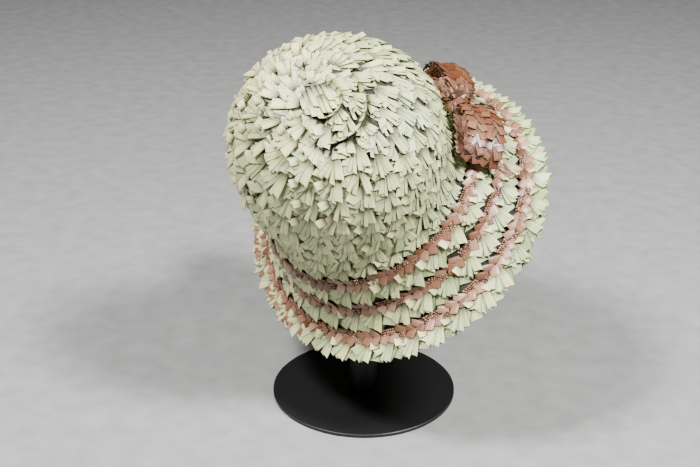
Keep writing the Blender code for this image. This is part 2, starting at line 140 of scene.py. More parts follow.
SECTIONS = [
    # name          height   bulb    flare
    ("bulb",        0.5708,  1.000,  0.000),
    ("under",       0.4609,  0.915,  0.000),
    ("neck",        0.3900,  0.862,  0.000),
    ("root",        0.3550,  0.890,  0.000),
    ("shelf",       0.3205,  1.000,  0.000),
    ("inner_band",  0.2798,  1.000,  0.202),
    ("wall",        0.2150,  1.000,  0.312),
    ("middle_band", 0.1414,  1.000,  0.386),
    ("flare",       0.0780,  1.000,  0.509),
    ("outer_band",  0.0328,  1.000,  0.680),
    ("rim",         0.0000,  1.000,  1.000),
]
CROWN_PARTS = [
    # name          last row
    ("crown_tip",   0.25),
    ("crown_dome",  0.62),
    ("crown_side",  1.00),
]
BRIM_RUNS = [
    # name           from           to             band
    ("brim_inner",   "inner_band",  "middle_band", "band_inner"),
    ("brim_middle",  "middle_band", "outer_band",  "band_middle"),
    ("brim_outer",   "outer_band",  "rim",         "band_outer"),
]

# Course of a bow loop: along, up, sway and width, as shares of its length, height and width
LOWER_LOOP = [
    (0.02, 0.55, -0.06, 0.66), (0.18, 0.82, 0.04, 0.84), (0.42, 1.00, 0.10, 1.00),
    (0.70, 0.97, 0.11, 1.00), (0.92, 0.70, 0.08, 0.96), (1.00, 0.36, 0.00, 0.92),
    (0.90, 0.08, -0.08, 0.88), (0.62, 0.02, -0.11, 0.88), (0.34, 0.05, -0.11, 0.82),
    (0.10, 0.10, -0.10, 0.70),
]
UPPER_LOOP = [
    (0.02, 0.55, -0.20, 0.76), (0.16, 0.84, -0.06, 0.92), (0.36, 0.92, 0.04, 1.00),
    (0.58, 1.00, 0.10, 1.04), (0.82, 0.96, 0.12, 1.04), (0.98, 0.66, 0.10, 1.00),
    (1.00, 0.34, 0.06, 0.94), (0.88, 0.08, 0.00, 0.90), (0.60, 0.02, -0.08, 0.94),
    (0.32, 0.05, -0.16, 0.90), (0.10, 0.10, -0.20, 0.78),
]
BOW_LOOPS = [
    # name             course      length             height             width            side  curl
    ("bow_lower_loop", LOWER_LOOP, LOWER_LOOP_LENGTH, LOWER_LOOP_HEIGHT, LOWER_LOOP_WIDTH, -1, 0.0),
    ("bow_upper_loop", UPPER_LOOP, UPPER_LOOP_LENGTH, UPPER_LOOP_HEIGHT, UPPER_LOOP_WIDTH, 1,
     0.0055),
]
# Where the upper loop's far corner curls up, as a share of the way round it
CURL_SHARE = 0.36
# Course of a tail: turn from the bow in loop lengths, and share of the way to the outer band
SHORT_TAIL = [(0.24, 0.50), (0.20, 0.66), (0.21, 0.84), (0.34, 0.965)]
LONG_TAIL = [(0.70, 0.34), (0.93, 0.58), (0.95, 0.80), (0.77, 0.965)]

# The leaves lie calmer and more slanted near the tip, until this distance from it
CALM_UNTIL = 0.150
CALM_SLANT = 16.0
# How much longer and wider the brim's leaves are, as a share, their added slant in degrees, and
# how far they stay clear of the next band
BRIM_MORE = 0.14
BRIM_SLANT = 16.8
BAND_CLEAR = 0.0012
CELL_THICKNESS = 0.0006

# Soft lamps by place, size in metres and power in watts, and the camera at the photo's angle
LAMPS = [
    # name    place                size   power
    ("key",   (1.0, -0.7, 1.8),    0.40,  104.0),
    ("fill",  (-0.9, -1.6, 1.6),   1.20,  1.5),
    ("top",   (-0.85, -0.5, 1.95), 0.45,  86.0),
]
LAMP_AIM = (0.0, 0.0, 0.24)
CAMERA_PLACE = (-0.0151, -1.2109, 0.7284)
CAMERA_TILT = math.radians(65.95)
CAMERA_LENS = 65.0
CAMERA_SENSOR = 36.0

# Kinds of straw leaf and copper cell, by their place in a kit
BROAD, PANEL, PLEAT, FLAP, CURL = range(5)
TAB, CELL, BEAD = range(3)

# Leaves of one tuft beside its pleats. Shift is a share of the pitch, out and long are shares of the
# row, low is in metres, high is a share of the tip lift and lean is in degrees from straight out.
# Tint moves a leaf towards the darker sage; the broad leaves that lie underneath get the most, as
# painted shade under the upper leaves.
TUFT = [
    # kind  shift   out    low     lean   long  high  width  roll  tint
    (BROAD, -0.30,  0.00,  0.0005, -22,   1.06, 0.42, 1.15,  3,    0.20),
    (BROAD, -0.80,  0.00,  0.0005, -22,   1.06, 0.40, 1.15,  3,    0.26),
    (CURL,  -0.04,  0.12,  0.0009, -60,   0.84, 0.58, 0.98,  5,    0.08),
    (BROAD, -0.02,  0.06,  0.0011, -46,   0.94, 0.66, 0.84,  3,    0.02),
    (PANEL,  0.10,  0.03,  0.0022, -6,    0.97, 1.08, 0.70,  7,   -0.10),
    (FLAP,  -0.46,  0.20,  0.0026, -66,   0.36, 1.15, 0.66,  12,  -0.18),
]


def length(name, default, text):
    """A length in metres that the sidebar shows."""
    return bpy.props.FloatProperty(name=name, description=text, default=default, min=0.0001,
                                   unit="LENGTH", precision=4)


def colour(name, default, text):
    """A colour that the sidebar shows."""
    return bpy.props.FloatVectorProperty(name=name, description=text, default=default, size=3,
                                         min=0.0, max=1.0, subtype="COLOR")


class BonnetStrawSizes(bpy.types.PropertyGroup):
    """Sizes of the fringed straw plait."""

    unit_pitch: length("Unit pitch", 0.0270, "Spacing of the sewn tufts along a row")
    overlap: length("Overlap", 0.0034, "How far a row's leaves start under the row before")
    reach: length("Reach", 0.0022, "How far a row's leaves pass the row's end")
    tip_lift: length("Tip lift", 0.0038, "Height of the leaf tips above the foot of the straw")
    broad_width: length("Broad leaf", 0.0125, "Width of the broad flat leaf between two fans")
    panel_width: length("Panel", 0.0082, "Width of the flat panel beside a fan")
    pleat_width: length("Pleat", 0.0042, "Width of one narrow pleat of a fan")
    flap_width: length("Flap", 0.0086, "Width of the folded square flap")
    thickness: length("Thickness", 0.0005, "Thickness of the split straw")
    pleats: bpy.props.IntProperty(name="Pleats", description="Narrow pleats in each fan",
                                  default=4, min=1, max=8)
    seed: bpy.props.IntProperty(name="Seed", description="Seed of the straw's scatter", default=11)


class BonnetPlaitSizes(bpy.types.PropertyGroup):
    """Sizes of the copper plait."""

    cell_pitch: length("Cell pitch", 0.0092, "Spacing of the folded cells along a band")
    tab_length: length("Tab length", 0.0104, "Length of the rounded tabs on a band's outer edge")
    tab_width: length("Tab width", 0.0104, "Width of the rounded tabs")
    cell_length: length("Cell length", 0.0122, "Length of the flat cells on a band's inner edge")
    cell_width: length("Cell width", 0.0072, "Width of the flat cells")
    bead: length("Bead", 0.0023, "Size of one bead of the fine plait")
    bow_cell: length("Bow cell", 0.0098, "Width of one chevron cell on the bow")
    bead_every: bpy.props.IntProperty(name="Bead spacing", default=5, min=3, max=20,
                                      description="Cells from one crossing bead strand to the next")
    seed: bpy.props.IntProperty(name="Seed", description="Seed of the plait's scatter", default=5)


class BonnetColours(bpy.types.PropertyGroup):
    """Colours of the bonnet, its stand and the floor."""

    straw_cream: colour("Straw, cream", (0.84, 0.77, 0.38), "Lightest straw")
    straw_pale: colour("Straw, pale", (0.56, 0.62, 0.31), "Most of the straw")
    # Sage is the greenest straw and, being darker, also the painted shade of the broad leaves that
    # lie underneath.
    straw_sage: colour("Straw, sage", (0.23, 0.29, 0.11), "Greenest straw")
    # Straw gaps is near black: painted shade for the foot seen between the tufts and for the
    # darkened roots and edges of the leaves.
    straw_gap_shade: colour("Straw, gaps", (0.010, 0.012, 0.003), "Foot of the straw between tufts")
    copper_pale: colour("Copper, pale", (0.60, 0.36, 0.24), "Lightest copper plait")
    copper_mid: colour("Copper", (0.29, 0.138, 0.077), "Most of the copper plait")
    copper_deep: colour("Copper, deep", (0.12, 0.040, 0.016), "Darkest copper plait")
    # Copper gaps is near black: painted shade for the strips that show between the copper cells and
    # for the darkened roots and edges of the cells.
    copper_gap_shade: colour("Copper, gaps", (0.016, 0.006, 0.003), "Foot of the copper plait")
    stand: colour("Stand", (0.004, 0.004, 0.0045), "Powder coat of the stand")
    cap: colour("Cap", (0.020, 0.020, 0.021), "Cloth of the hidden cap")
    floor: colour("Floor", (0.22, 0.22, 0.217), "Plain floor")


def smooth_curve(points, steps, closed=False):
    """A curve through the rows of points, with a chord-spaced parameter."""
    points = np.asarray(points, float)
    count = len(points)
    if closed:
        points = np.vstack([points[-1:], points, points[:2]])
    else:
        points = np.vstack([2 * points[0] - points[1], points, 2 * points[-1] - points[-2]])
    spans = count if closed else count - 1
    knots = np.concatenate([[0.0], np.cumsum(np.linalg.norm(np.diff(points, axis=0), axis=1))])
    out = []
    for span in range(spans):
        before, start, end, after = points[span:span + 4]
        k0, k1, k2, k3 = knots[span:span + 4]
        leave = (end - before) / (k2 - k0) * (k2 - k1)
        arrive = (after - start) / (k3 - k1) * (k2 - k1)
        for step in range(steps):
            t = step / steps
            out.append((2 * t**3 - 3 * t**2 + 1) * start + (t**3 - 2 * t**2 + t) * leave
                       + (3 * t**2 - 2 * t**3) * end + (t**3 - t**2) * arrive)
    if not closed:
        out.append(points[-2])
    return np.array(out)


class Surface:
    """The straw's foot surface, by distance from the tip, turn and height above it."""

    def __init__(self):
        radii = {name: bulb * CROWN_RADIUS + flare * (RIM_RADIUS - CROWN_RADIUS)
                 for name, _, bulb, flare in SECTIONS}
        heights = {name: height * BONNET_DEPTH for name, height, _, _ in SECTIONS}
        quarter = np.linspace(0.0, math.pi / 2, DOME_STEPS + 1)[:-1]
        dome_height = BONNET_DEPTH - heights["bulb"]
        dome = np.stack([heights["bulb"] + dome_height * np.cos(quarter)**CROWN_FLATNESS,
                         CROWN_RADIUS * np.sin(quarter)], 1)
        wall = smooth_curve([(heights[row[0]], radii[row[0]]) for row in SECTIONS], SPAN_STEPS)
        profile = np.vstack([dome, wall])
        self.distance = np.concatenate(
            [[0.0], np.cumsum(np.linalg.norm(np.diff(profile, axis=0), axis=1))])
        self.height = profile[:, 0]
        self.radius = profile[:, 1]
        self.at = {row[0]: self.distance[DOME_STEPS + SPAN_STEPS * index]
                   for index, row in enumerate(SECTIONS)}
        self.neck_radius = radii["neck"]
        self.slope = np.array([(heights[name], radii[name]) for name in ("inner_band", "bulb")]).T
        axis = Vector((math.sin(TILT) * math.cos(HEADING),
                       math.sin(TILT) * math.sin(HEADING), math.cos(TILT)))
        self.turn = np.array(Vector((0, 0, 1)).rotation_difference(axis).to_matrix())

    def foot(self, distance, turn):
        """World points on the foot surface for arrays of distance and turn."""
        distance, turn = np.broadcast_arrays(np.asarray(distance, float), np.asarray(turn, float))
        height = np.interp(distance, self.distance, self.height)
        radius = np.interp(distance, self.distance, self.radius)
        past = distance - self.distance[-1]
        radius = radius + np.maximum(past, 0.0)
        flare = np.clip((radius - self.neck_radius) / (RIM_RADIUS - self.neck_radius), 0.0, 1.2)
        flare = np.where(distance > self.at["neck"], flare, 0.0)
        away = np.angle(np.exp(1j * (turn - DIP_TURN)))
        outline = (PEAK_SHARE * np.cos(turn - PEAK_TURN)
                   + OVAL_SHARE * np.cos(2 * (turn - OVAL_TURN))
                   - DIP_SHARE * flare * np.exp(-(away / DIP_SPREAD)**2))
        radius = self.filled(distance, turn, height, radius) * (1 + flare * outline)
        lift = flare**2 * SADDLE_HEIGHT * np.cos(2 * (turn - SADDLE_TURN))
        share = np.clip(height / BONNET_DEPTH, 0.001, 1.0)
        lean = LEAN * share**LEAN_POWER
        slope = LEAN * LEAN_POWER * share**(LEAN_POWER - 1) / BONNET_DEPTH
        side = radius * np.cos(turn - LEAN_TURN)
        across = radius * np.sin(turn - LEAN_TURN)
        flat = 1 / np.sqrt(1 + slope**2)
        along = side * flat + lift * slope * flat + lean
        up = height - side * slope * flat + lift * flat
        local = np.stack([along * math.cos(LEAN_TURN) - across * math.sin(LEAN_TURN),
                          along * math.sin(LEAN_TURN) + across * math.cos(LEAN_TURN), up], -1)
        return local @ self.turn.T + np.array(RIM_CENTRE)

    def filled(self, distance, turn, height, radius):
        """Radii with the waist filled towards a straight slope, away from the bow."""
        away = np.angle(np.exp(1j * (turn - FILL_TURN)))
        straight = np.interp(height, *self.slope)
        waist = (distance > self.at["bulb"]) & (distance < self.at["inner_band"])
        fill = FILL_SHARE * np.exp(-(away / FILL_SPREAD)**4) * np.maximum(straight - radius, 0.0)
        return radius + np.where(waist, fill, 0.0)

    def normal(self, distance, turn):
        """Directions straight out from the foot surface."""
        reach = 0.0004
        distance, turn = np.broadcast_arrays(np.asarray(distance, float), np.asarray(turn, float))
        safe = np.maximum(distance, 2 * reach)
        along = self.foot(safe + reach, turn) - self.foot(safe - reach, turn)
        step = 0.004
        round_it = self.foot(safe, turn + step) - self.foot(safe, turn - step)
        out = np.cross(along, round_it)
        return out / np.linalg.norm(out, axis=-1, keepdims=True)

    def dent(self, distance, turn):
        """Depth of the crease round the coiled tip."""
        away = np.angle(np.exp(1j * (turn - CREASE_TURN)))
        return (CREASE_LOOK * CREASE_DEPTH
                * np.exp(-((distance - CREASE_RADIUS) / CREASE_WIDTH)**2)
                * np.exp(-(away / CREASE_SPREAD)**4))

    def point(self, distance, turn, height):
        """World points at a height above the foot surface."""
        distance, turn, height = np.broadcast_arrays(
            np.asarray(distance, float), np.asarray(turn, float), np.asarray(height, float))
        lift = (height - self.dent(distance, turn))[..., None]
        return self.foot(distance, turn) + self.normal(distance, turn) * lift

    def width_at(self, distance):
        """Radius of the ring at a distance, to turn lengths round it into turns."""
        return np.interp(distance, self.distance, self.radius)


SURFACE = Surface()
SHOULDER_RADIUS = float(SURFACE.width_at(SURFACE.at["inner_band"]))


def run_ends(run):
    """Distances where a run of the brim starts and ends."""
    _, first, last, _ = run
    start = SURFACE.at[first] - BAND_WIDTH / 2
    return start, SURFACE.at[last] - (0.0 if last == "rim" else BAND_WIDTH / 2)


def ramp(run, distance):
    """Height of a row's face above the foot surface."""
    start, end = run_ends(run)
    return ROW_LIP * (distance - start) / (end - start)


def band_edges(run):
    """Distances of a band's inner and outer edge."""
    start, _ = run_ends(run)
    return start + 2 * GAP, start + 2 * GAP + BAND_WIDTH


def band_top(run):
    """Height of a band's face above the foot surface."""
    return ramp(run, band_edges(run)[1]) + GAP + BAND_THICKNESS


def crown_rows():
    """Name of each crown piece with the distances of its rows' ends, its start first."""
    last = SURFACE.at["inner_band"] - BAND_WIDTH / 2
    rows = max(3, round(last / ROW_WIDTH))
    ends = np.concatenate([[0.0], np.linspace(0.0, last - GAP, rows + 1)[1:]])
    first = 0
    parts = []
    for name, share in CROWN_PARTS:
        until = round(share * (len(ends) - 1))
        parts.append((name, ends[first:until + 1]))
        first = until
    return parts


def over_shoulder(turn, out, height):
    """World points by turn, flat distance out across the shoulder, and height above it."""
    distance = SURFACE.at["inner_band"]
    inner = SURFACE.foot(distance - BAND_WIDTH, turn)
    outer = SURFACE.foot(distance + BAND_WIDTH, turn)
    across = (outer - inner) / np.linalg.norm(outer - inner, axis=-1, keepdims=True)
    normal = SURFACE.normal(distance, turn)
    normal = normal - across * np.sum(normal * across, axis=-1, keepdims=True)
    normal /= np.linalg.norm(normal, axis=-1, keepdims=True)
    out = np.broadcast_to(np.asarray(out, float), np.shape(turn))[..., None]
    height = np.broadcast_to(np.asarray(height, float), np.shape(turn))[..., None]
    return SURFACE.foot(distance, turn) + across * out + normal * height


def bow_seat():
    """Height of the bow's underside, which lies on the flat band over the round shoulder."""
    distance = SURFACE.at["inner_band"]
    inner = SURFACE.foot(distance - BAND_WIDTH / 2, BOW_TURN)
    outer = SURFACE.foot(distance + BAND_WIDTH / 2, BOW_TURN)
    bulge = np.linalg.norm(SURFACE.foot(distance, BOW_TURN) - (inner + outer) / 2)
    return band_top(BRIM_RUNS[0]) + GAP - float(bulge)


def add_mesh(name, points, faces, uvs=None, linked=True):
    """A mesh object with an optional UV map that holds one pair for each point."""
    mesh = bpy.data.meshes.new(name)
    mesh.from_pydata([tuple(p) for p in points], [], faces)
    if uvs is not None:
        layer = mesh.uv_layers.new(name="UVMap")
        for loop in mesh.loops:
            layer.data[loop.index].uv = uvs[loop.vertex_index]
    made = bpy.data.objects.new(name, mesh)
    if linked:
        bpy.context.scene.collection.objects.link(made)
    return made


def turn_outwards(mesh):
    """Turn the faces of a closed mesh so that all of them face outwards."""
    solid = bmesh.new()
    solid.from_mesh(mesh)
    bmesh.ops.recalc_face_normals(solid, faces=solid.faces)
    solid.to_mesh(mesh)
    solid.free()


def thin_sheet(name, rows, thickness):
    """A closed thin solid over a grid, with one row of (x, y, z) shares for each station."""
    grid = np.array(rows, float)
    stations, across = grid.shape[:2]
    under = grid.copy()
    under[..., 2] -= thickness
    points = np.vstack([grid.reshape(-1, 3), under.reshape(-1, 3)])
    shift = stations * across
    faces = []
    for row in range(stations - 1):
        for col in range(across - 1):
            a = row * across + col
            b, c, d = a + 1, a + across + 1, a + across
            faces.append((a, b, c, d))
            faces.append((a + shift, d + shift, c + shift, b + shift))
    edge = list(range(across))
    edge += [row * across + across - 1 for row in range(1, stations)]
    edge += [(stations - 1) * across + col for col in range(across - 2, -1, -1)]
    edge += [row * across for row in range(stations - 2, 0, -1)]
    for index, here in enumerate(edge):
        after = edge[(index + 1) % len(edge)]
        faces.append((here, here + shift, after + shift, after))
    uvs = [(col / (across - 1), row / (stations - 1))
           for _ in range(2) for row in range(stations) for col in range(across)]
    return add_mesh(name, points, faces, uvs, linked=False)


def leaf(name, stations, fold, cut, curl, cup):
    """A straw leaf, one long and one wide, with a folded ridge, a slanted cut and a curl."""
    rows = []
    for share, width in stations:
        row = []
        for side, place in ((-0.5, -0.5), (0.0, fold), (0.5, 0.5)):
            y = share * (1.0 + cut * side * share)
            ridge = cup * (1.0 if side == 0.0 else 0.0)
            row.append((place * width, y, ridge + curl * share**3))
        rows.append(row)
    return thin_sheet(name, rows, 1.0)


def fill_kit(name, made):
    """A collection of shapes to plant, in the order of their names."""
    kit = bpy.data.collections.new(name)
    for item in made:
        kit.objects.link(item)
    return kit


def straw_kit():
    """The kinds of leaf that the straw is planted with. A z of one is the straw's thickness."""
    blunt = ((0, 0.84), (0.35, 0.97), (0.72, 1.0), (1.0, 0.97))
    wedge = ((0, 0.55), (0.35, 0.86), (0.72, 1.0), (1.0, 1.0))
    return fill_kit("straw_kit", [
        leaf("kit_0_broad", blunt, 0.12, 0.16, 0.8, 0.9),
        leaf("kit_1_panel", wedge, -0.22, -0.13, 1.0, 1.1),
        leaf("kit_2_pleat", wedge, -0.25, -0.10, 0.6, 2.0),
        leaf("kit_3_flap", blunt, 0.05, 0.10, 2.0, 0.7),
        leaf("kit_4_curl", blunt, 0.15, 0.30, 1.6, 1.2),
    ])


def domed_cell(name, dome, square):
    """A rounded folded cell with a raised middle, one long and one wide."""
    rows = []
    for share in (0.0, 0.12, 0.5, 0.88, 1.0):
        ends = min(share, 1.0 - share)
        width = 1.0 if ends > 0.1 else square
        row = []
        for side in (-0.5, -0.2, 0.2, 0.5):
            high = dome * (1.0 - (2 * side)**2 * 0.9) * (1.0 - (2 * share - 1.0)**4 * 0.8)
            row.append((side * width, share, high))
        rows.append(row)
    return thin_sheet(name, rows, 1.0)


def bead_shape(name):
    """A small closed bead, one unit across."""
    rings, sides = 4, 6
    points = [(0.0, 0.0, -0.5)]
    for ring in range(1, rings):
        tilt = math.pi * ring / rings
        for side in range(sides):
            turn = 2 * math.pi * side / sides
            points.append((0.5 * math.sin(tilt) * math.cos(turn),
                           0.5 * math.sin(tilt) * math.sin(turn), -0.5 * math.cos(tilt)))
    points.append((0.0, 0.0, 0.5))
    top = len(points) - 1
    faces = []
    for side in range(sides):
        after = (side + 1) % sides
        faces.append((0, 1 + after, 1 + side))
        for ring in range(rings - 2):
            low = 1 + ring * sides
            faces.append((low + side, low + after, low + sides + after, low + sides + side))
        faces.append((1 + (rings - 2) * sides + side, 1 + (rings - 2) * sides + after, top))
    return add_mesh(name, points, faces, [(p[0] + 0.5, p[1] + 0.5) for p in points], linked=False)


def copper_kit():
    """The kinds of cell that the copper plait is made of."""
    return fill_kit("copper_kit", [domed_cell("kit_0_tab", 1.6, 0.90),
                                   domed_cell("kit_1_cell", 1.2, 0.96),
                                   bead_shape("kit_2_bead")])


def clear_kit(kit):
    """Remove a kit once everything is planted."""
    for item in list(kit.objects):
        bpy.data.meshes.remove(item.data)
    bpy.data.collections.remove(kit)


def linked_socket(sockets, name):
    """The socket of that name that the node's data type has switched on."""
    return next(item for item in sockets if item.name == name and item.enabled)


def feed(links, socket, value):
    """Link a socket to another, or give it a number or a colour of its own."""
    if isinstance(value, bpy.types.NodeSocket):
        links.new(value, socket)
    elif isinstance(value, (int, float)):
        socket.default_value = value
    else:
        socket.default_value = (*value, 1.0)


def sum_of(nodes, links, operation, first, second=0.0):
    """The result of a maths node on sockets or plain numbers."""
    node = nodes.new("ShaderNodeMath")
    node.operation = operation
    feed(links, node.inputs[0], first)
    feed(links, node.inputs[1], second)
    return node.outputs[0]


def scatter_of(nodes, links, kind, low, high, seed):
    """A random value between two sockets, different on each point."""
    node = nodes.new("FunctionNodeRandomValue")
    node.data_type = kind
    for name, value in (("Min", low), ("Max", high), ("Seed", seed)):
        links.new(value, linked_socket(node.inputs, name))
    return linked_socket(node.outputs, "Value")


def planting_tree():
    tree = bpy.data.node_groups.new("planting", "GeometryNodeTree")
    for name, kind in (("Geometry", "Geometry"), ("Kit", "Collection"), ("Finish", "Material"),
                       ("Size scatter", "Float"), ("Turn scatter", "Float"), ("Seed", "Int")):
        tree.interface.new_socket(name, in_out="INPUT", socket_type="NodeSocket" + kind)
    tree.interface.new_socket("Geometry", in_out="OUTPUT", socket_type="NodeSocketGeometry")
    nodes, links = tree.nodes, tree.links
    given = nodes.new("NodeGroupInput").outputs
    result = nodes.new("NodeGroupOutput")
    kit = nodes.new("GeometryNodeCollectionInfo")
    kit.inputs["Separate Children"].default_value = True
    kit.inputs["Reset Children"].default_value = True
    links.new(given["Kit"], kit.inputs["Collection"])

    read = {}
    for name, kind in (("kind", "INT"), ("turn", "QUATERNION"), ("size", "FLOAT_VECTOR")):
        node = nodes.new("GeometryNodeInputNamedAttribute")
        node.data_type = kind
        node.inputs["Name"].default_value = name
        read[name] = linked_socket(node.outputs, "Attribute")

    sized = nodes.new("ShaderNodeVectorMath")
    sized.operation = "SCALE"
    links.new(read["size"], sized.inputs[0])
    links.new(scatter_of(nodes, links, "FLOAT",
                         sum_of(nodes, links, "SUBTRACT", 1.0, given["Size scatter"]),
                         sum_of(nodes, links, "ADD", 1.0, given["Size scatter"]),
                         given["Seed"]), sized.inputs["Scale"])
    swayed = nodes.new("FunctionNodeEulerToRotation")
    links.new(scatter_of(nodes, links, "FLOAT_VECTOR",
                         sum_of(nodes, links, "MULTIPLY", given["Turn scatter"], -1.0),
                         given["Turn scatter"], given["Seed"]), swayed.inputs[0])
    turned = nodes.new("FunctionNodeRotateRotation")
    turned.rotation_space = "LOCAL"
    links.new(read["turn"], turned.inputs["Rotation"])
    links.new(swayed.outputs[0], turned.inputs["Rotate By"])

    planted = nodes.new("GeometryNodeInstanceOnPoints")
    planted.inputs["Pick Instance"].default_value = True
    for source, name in ((given["Geometry"], "Points"), (kit.outputs[0], "Instance"),
                         (read["kind"], "Instance Index"), (turned.outputs[0], "Rotation"),
                         (sized.outputs[0], "Scale")):
        links.new(source, planted.inputs[name])
    real = nodes.new("GeometryNodeRealizeInstances")
    links.new(planted.outputs[0], real.inputs[0])
    painted = nodes.new("GeometryNodeSetMaterial")
    links.new(real.outputs[0], painted.inputs["Geometry"])
    links.new(given["Finish"], painted.inputs["Material"])
    links.new(painted.outputs[0], result.inputs["Geometry"])
    return tree


class Planting:
    """Leaves or cells to set out, each from a root to an end, with a roll and a tint."""

    def __init__(self):
        self.roots = []
        self.ends = []
        self.ups = []
        self.rolls = []
        self.sizes = []
        self.kinds = []
        self.tints = []

    def add(self, root, end, up, width, thickness, roll=0.0, kind=0, tint=0.5):
        """One leaf or cell from a root to an end, its face towards up."""
        self.roots.append(root)
        self.ends.append(end)
        self.ups.append(up)
        self.rolls.append(roll)
        self.sizes.append((width, thickness))
        self.kinds.append(kind)
        self.tints.append(tint)

    def on_surface(self, distance, turn, low, lean, reach, high, width, thickness, **rest):
        """One that lies on the bonnet. Lean is its angle from straight out, to rising turns."""
        radius = max(0.012, float(SURFACE.width_at(distance + reach / 2)))
        end_distance = distance + reach * math.cos(lean)
        end_turn = turn + reach * math.sin(lean) / radius
        root = SURFACE.point(distance, turn, low)
        end = SURFACE.point(end_distance, end_turn, high)
        up = SURFACE.normal((distance + end_distance) / 2, (turn + end_turn) / 2)
        self.add(root, end, up, width, thickness, **rest)

    def build(self, name, kit, finish, size_scatter, turn_scatter, seed):
        """A plain mesh object of everything that was set out."""
        turns = []
        sizes = []
        for root, end, up, roll, size in zip(self.roots, self.ends, self.ups, self.rolls,
                                             self.sizes):
            ahead = Vector(end) - Vector(root)
            reach = ahead.length
            ahead.normalize()
            side = ahead.cross(Vector(up)).normalized()
            top = side.cross(ahead)
            frame_of = Matrix((side, ahead, top)).transposed()
            frame_of = frame_of @ Matrix.Rotation(roll, 3, "Y")
            turns.append(tuple(frame_of.to_quaternion()))
            sizes.append((size[0], reach, size[1]))
        seeds = add_mesh(name + "_seeds", self.roots, [])
        mesh = seeds.data
        for label, kind, field, values in (("turn", "QUATERNION", "value", turns),
                                           ("size", "FLOAT_VECTOR", "vector", sizes),
                                           ("kind", "INT", "value", self.kinds),
                                           ("tint", "FLOAT", "value", self.tints)):
            layer = mesh.attributes.new(label, kind, "POINT")
            layer.data.foreach_set(field, np.asarray(values).ravel())
        tree = planting_tree()
        modifier = seeds.modifiers.new("planting", "NODES")
        modifier.node_group = tree
        wanted = {"Kit": kit, "Finish": finish, "Size scatter": size_scatter,
                  "Turn scatter": turn_scatter, "Seed": seed}
        for item in tree.interface.items_tree:
            if item.in_out == "INPUT" and item.name in wanted:
                modifier[item.identifier] = wanted[item.name]
        graph = bpy.context.evaluated_depsgraph_get()
        plain = bpy.data.meshes.new_from_object(seeds.evaluated_get(graph), depsgraph=graph)
        seeds.modifiers.remove(modifier)
        bpy.data.objects.remove(seeds, do_unlink=True)
        bpy.data.node_groups.remove(tree)
        if not plain.polygons:
            raise RuntimeError(name + " came out empty")
        plain.name = name
        made = bpy.data.objects.new(name, plain)
        bpy.context.scene.collection.objects.link(made)
        return made


def dress(piece, slot, *nodes):
    """A finished piece rides on the one body and stands for CAD nodes; the slot is not used."""
    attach(piece, "root")
    if nodes:
        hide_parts(*nodes)


def new_material(name):
    """A new material with its nodes, its links and its Principled shader."""
    made = bpy.data.materials.new(name)
    made.use_nodes = True
    return made, made.node_tree.nodes, made.node_tree.links, made.node_tree.nodes["Principled BSDF"]


def fibre_group():
    """Long fibres that run down a leaf or cell, different on each one."""
    found = bpy.data.node_groups.get("plait_fibre")
    if found:
        return found
    group = bpy.data.node_groups.new("plait_fibre", "ShaderNodeTree")
    group.interface.new_socket("Count", in_out="INPUT", socket_type="NodeSocketFloat")
    for name in ("Mask", "Along", "Edge"):
        group.interface.new_socket(name, in_out="OUTPUT", socket_type="NodeSocketFloat")
    nodes, links = group.nodes, group.links
    source = nodes.new("NodeGroupInput")
    result = nodes.new("NodeGroupOutput")
    flat = nodes.new("ShaderNodeUVMap")
    flat.uv_map = "UVMap"
    parts = nodes.new("ShaderNodeSeparateXYZ")
    links.new(flat.outputs[0], parts.inputs[0])
    tint = nodes.new("ShaderNodeAttribute")
    tint.attribute_name = "tint"
    place = nodes.new("ShaderNodeCombineXYZ")
    links.new(sum_of(nodes, links, "MULTIPLY", parts.outputs["X"], source.outputs["Count"]),
              place.inputs["X"])
    links.new(parts.outputs["Y"], place.inputs["Y"])
    links.new(sum_of(nodes, links, "MULTIPLY", tint.outputs["Fac"], 61.0), place.inputs["Z"])
    centred = sum_of(nodes, links, "SUBTRACT", parts.outputs["X"], 0.5)
    links.new(noise_of(nodes, links, place.outputs[0], 1.0, 3.0), result.inputs["Mask"])
    links.new(parts.outputs["Y"], result.inputs["Along"])
    links.new(sum_of(nodes, links, "ABSOLUTE", centred), result.inputs["Edge"])
    return group


def noise_of(nodes, links, place, scale, detail):
    """Noise between 0 and 1 on a vector socket, or on the object's own coordinates."""
    if place is None:
        place = nodes.new("ShaderNodeTexCoord").outputs["Object"]
    node = nodes.new("ShaderNodeTexNoise")
    node.inputs["Scale"].default_value = scale
    node.inputs["Detail"].default_value = detail
    links.new(place, node.inputs["Vector"])
    return node.outputs["Fac"]


def mix_colour(nodes, links, factor, first, second):
    """A mix of two colours, whose factor and colours are sockets or plain values."""
    node = nodes.new("ShaderNodeMix")
    node.data_type = "RGBA"
    for name, value in (("Factor", factor), ("A", first), ("B", second)):
        feed(links, linked_socket(node.inputs, name), value)
    return linked_socket(node.outputs, "Result")


def ranged(nodes, links, value, low, high, out_low, out_high):
    """A value moved from one range to another and kept inside it."""
    node = nodes.new("ShaderNodeMapRange")
    for name, bound in (("From Min", low), ("From Max", high), ("To Min", out_low),
                        ("To Max", out_high)):
        node.inputs[name].default_value = bound
    links.new(value, node.inputs["Value"])
    return node.outputs["Result"]


def relieve(nodes, links, shader, height, strength, depth, sunk=False):
    """Feed the shader's normal with a relief of that strength and depth in metres."""
    bump = nodes.new("ShaderNodeBump")
    bump.inputs["Strength"].default_value = strength
    bump.inputs["Distance"].default_value = depth
    bump.invert = sunk
    links.new(height, bump.inputs["Height"])
    links.new(bump.outputs["Normal"], shader.inputs["Normal"])


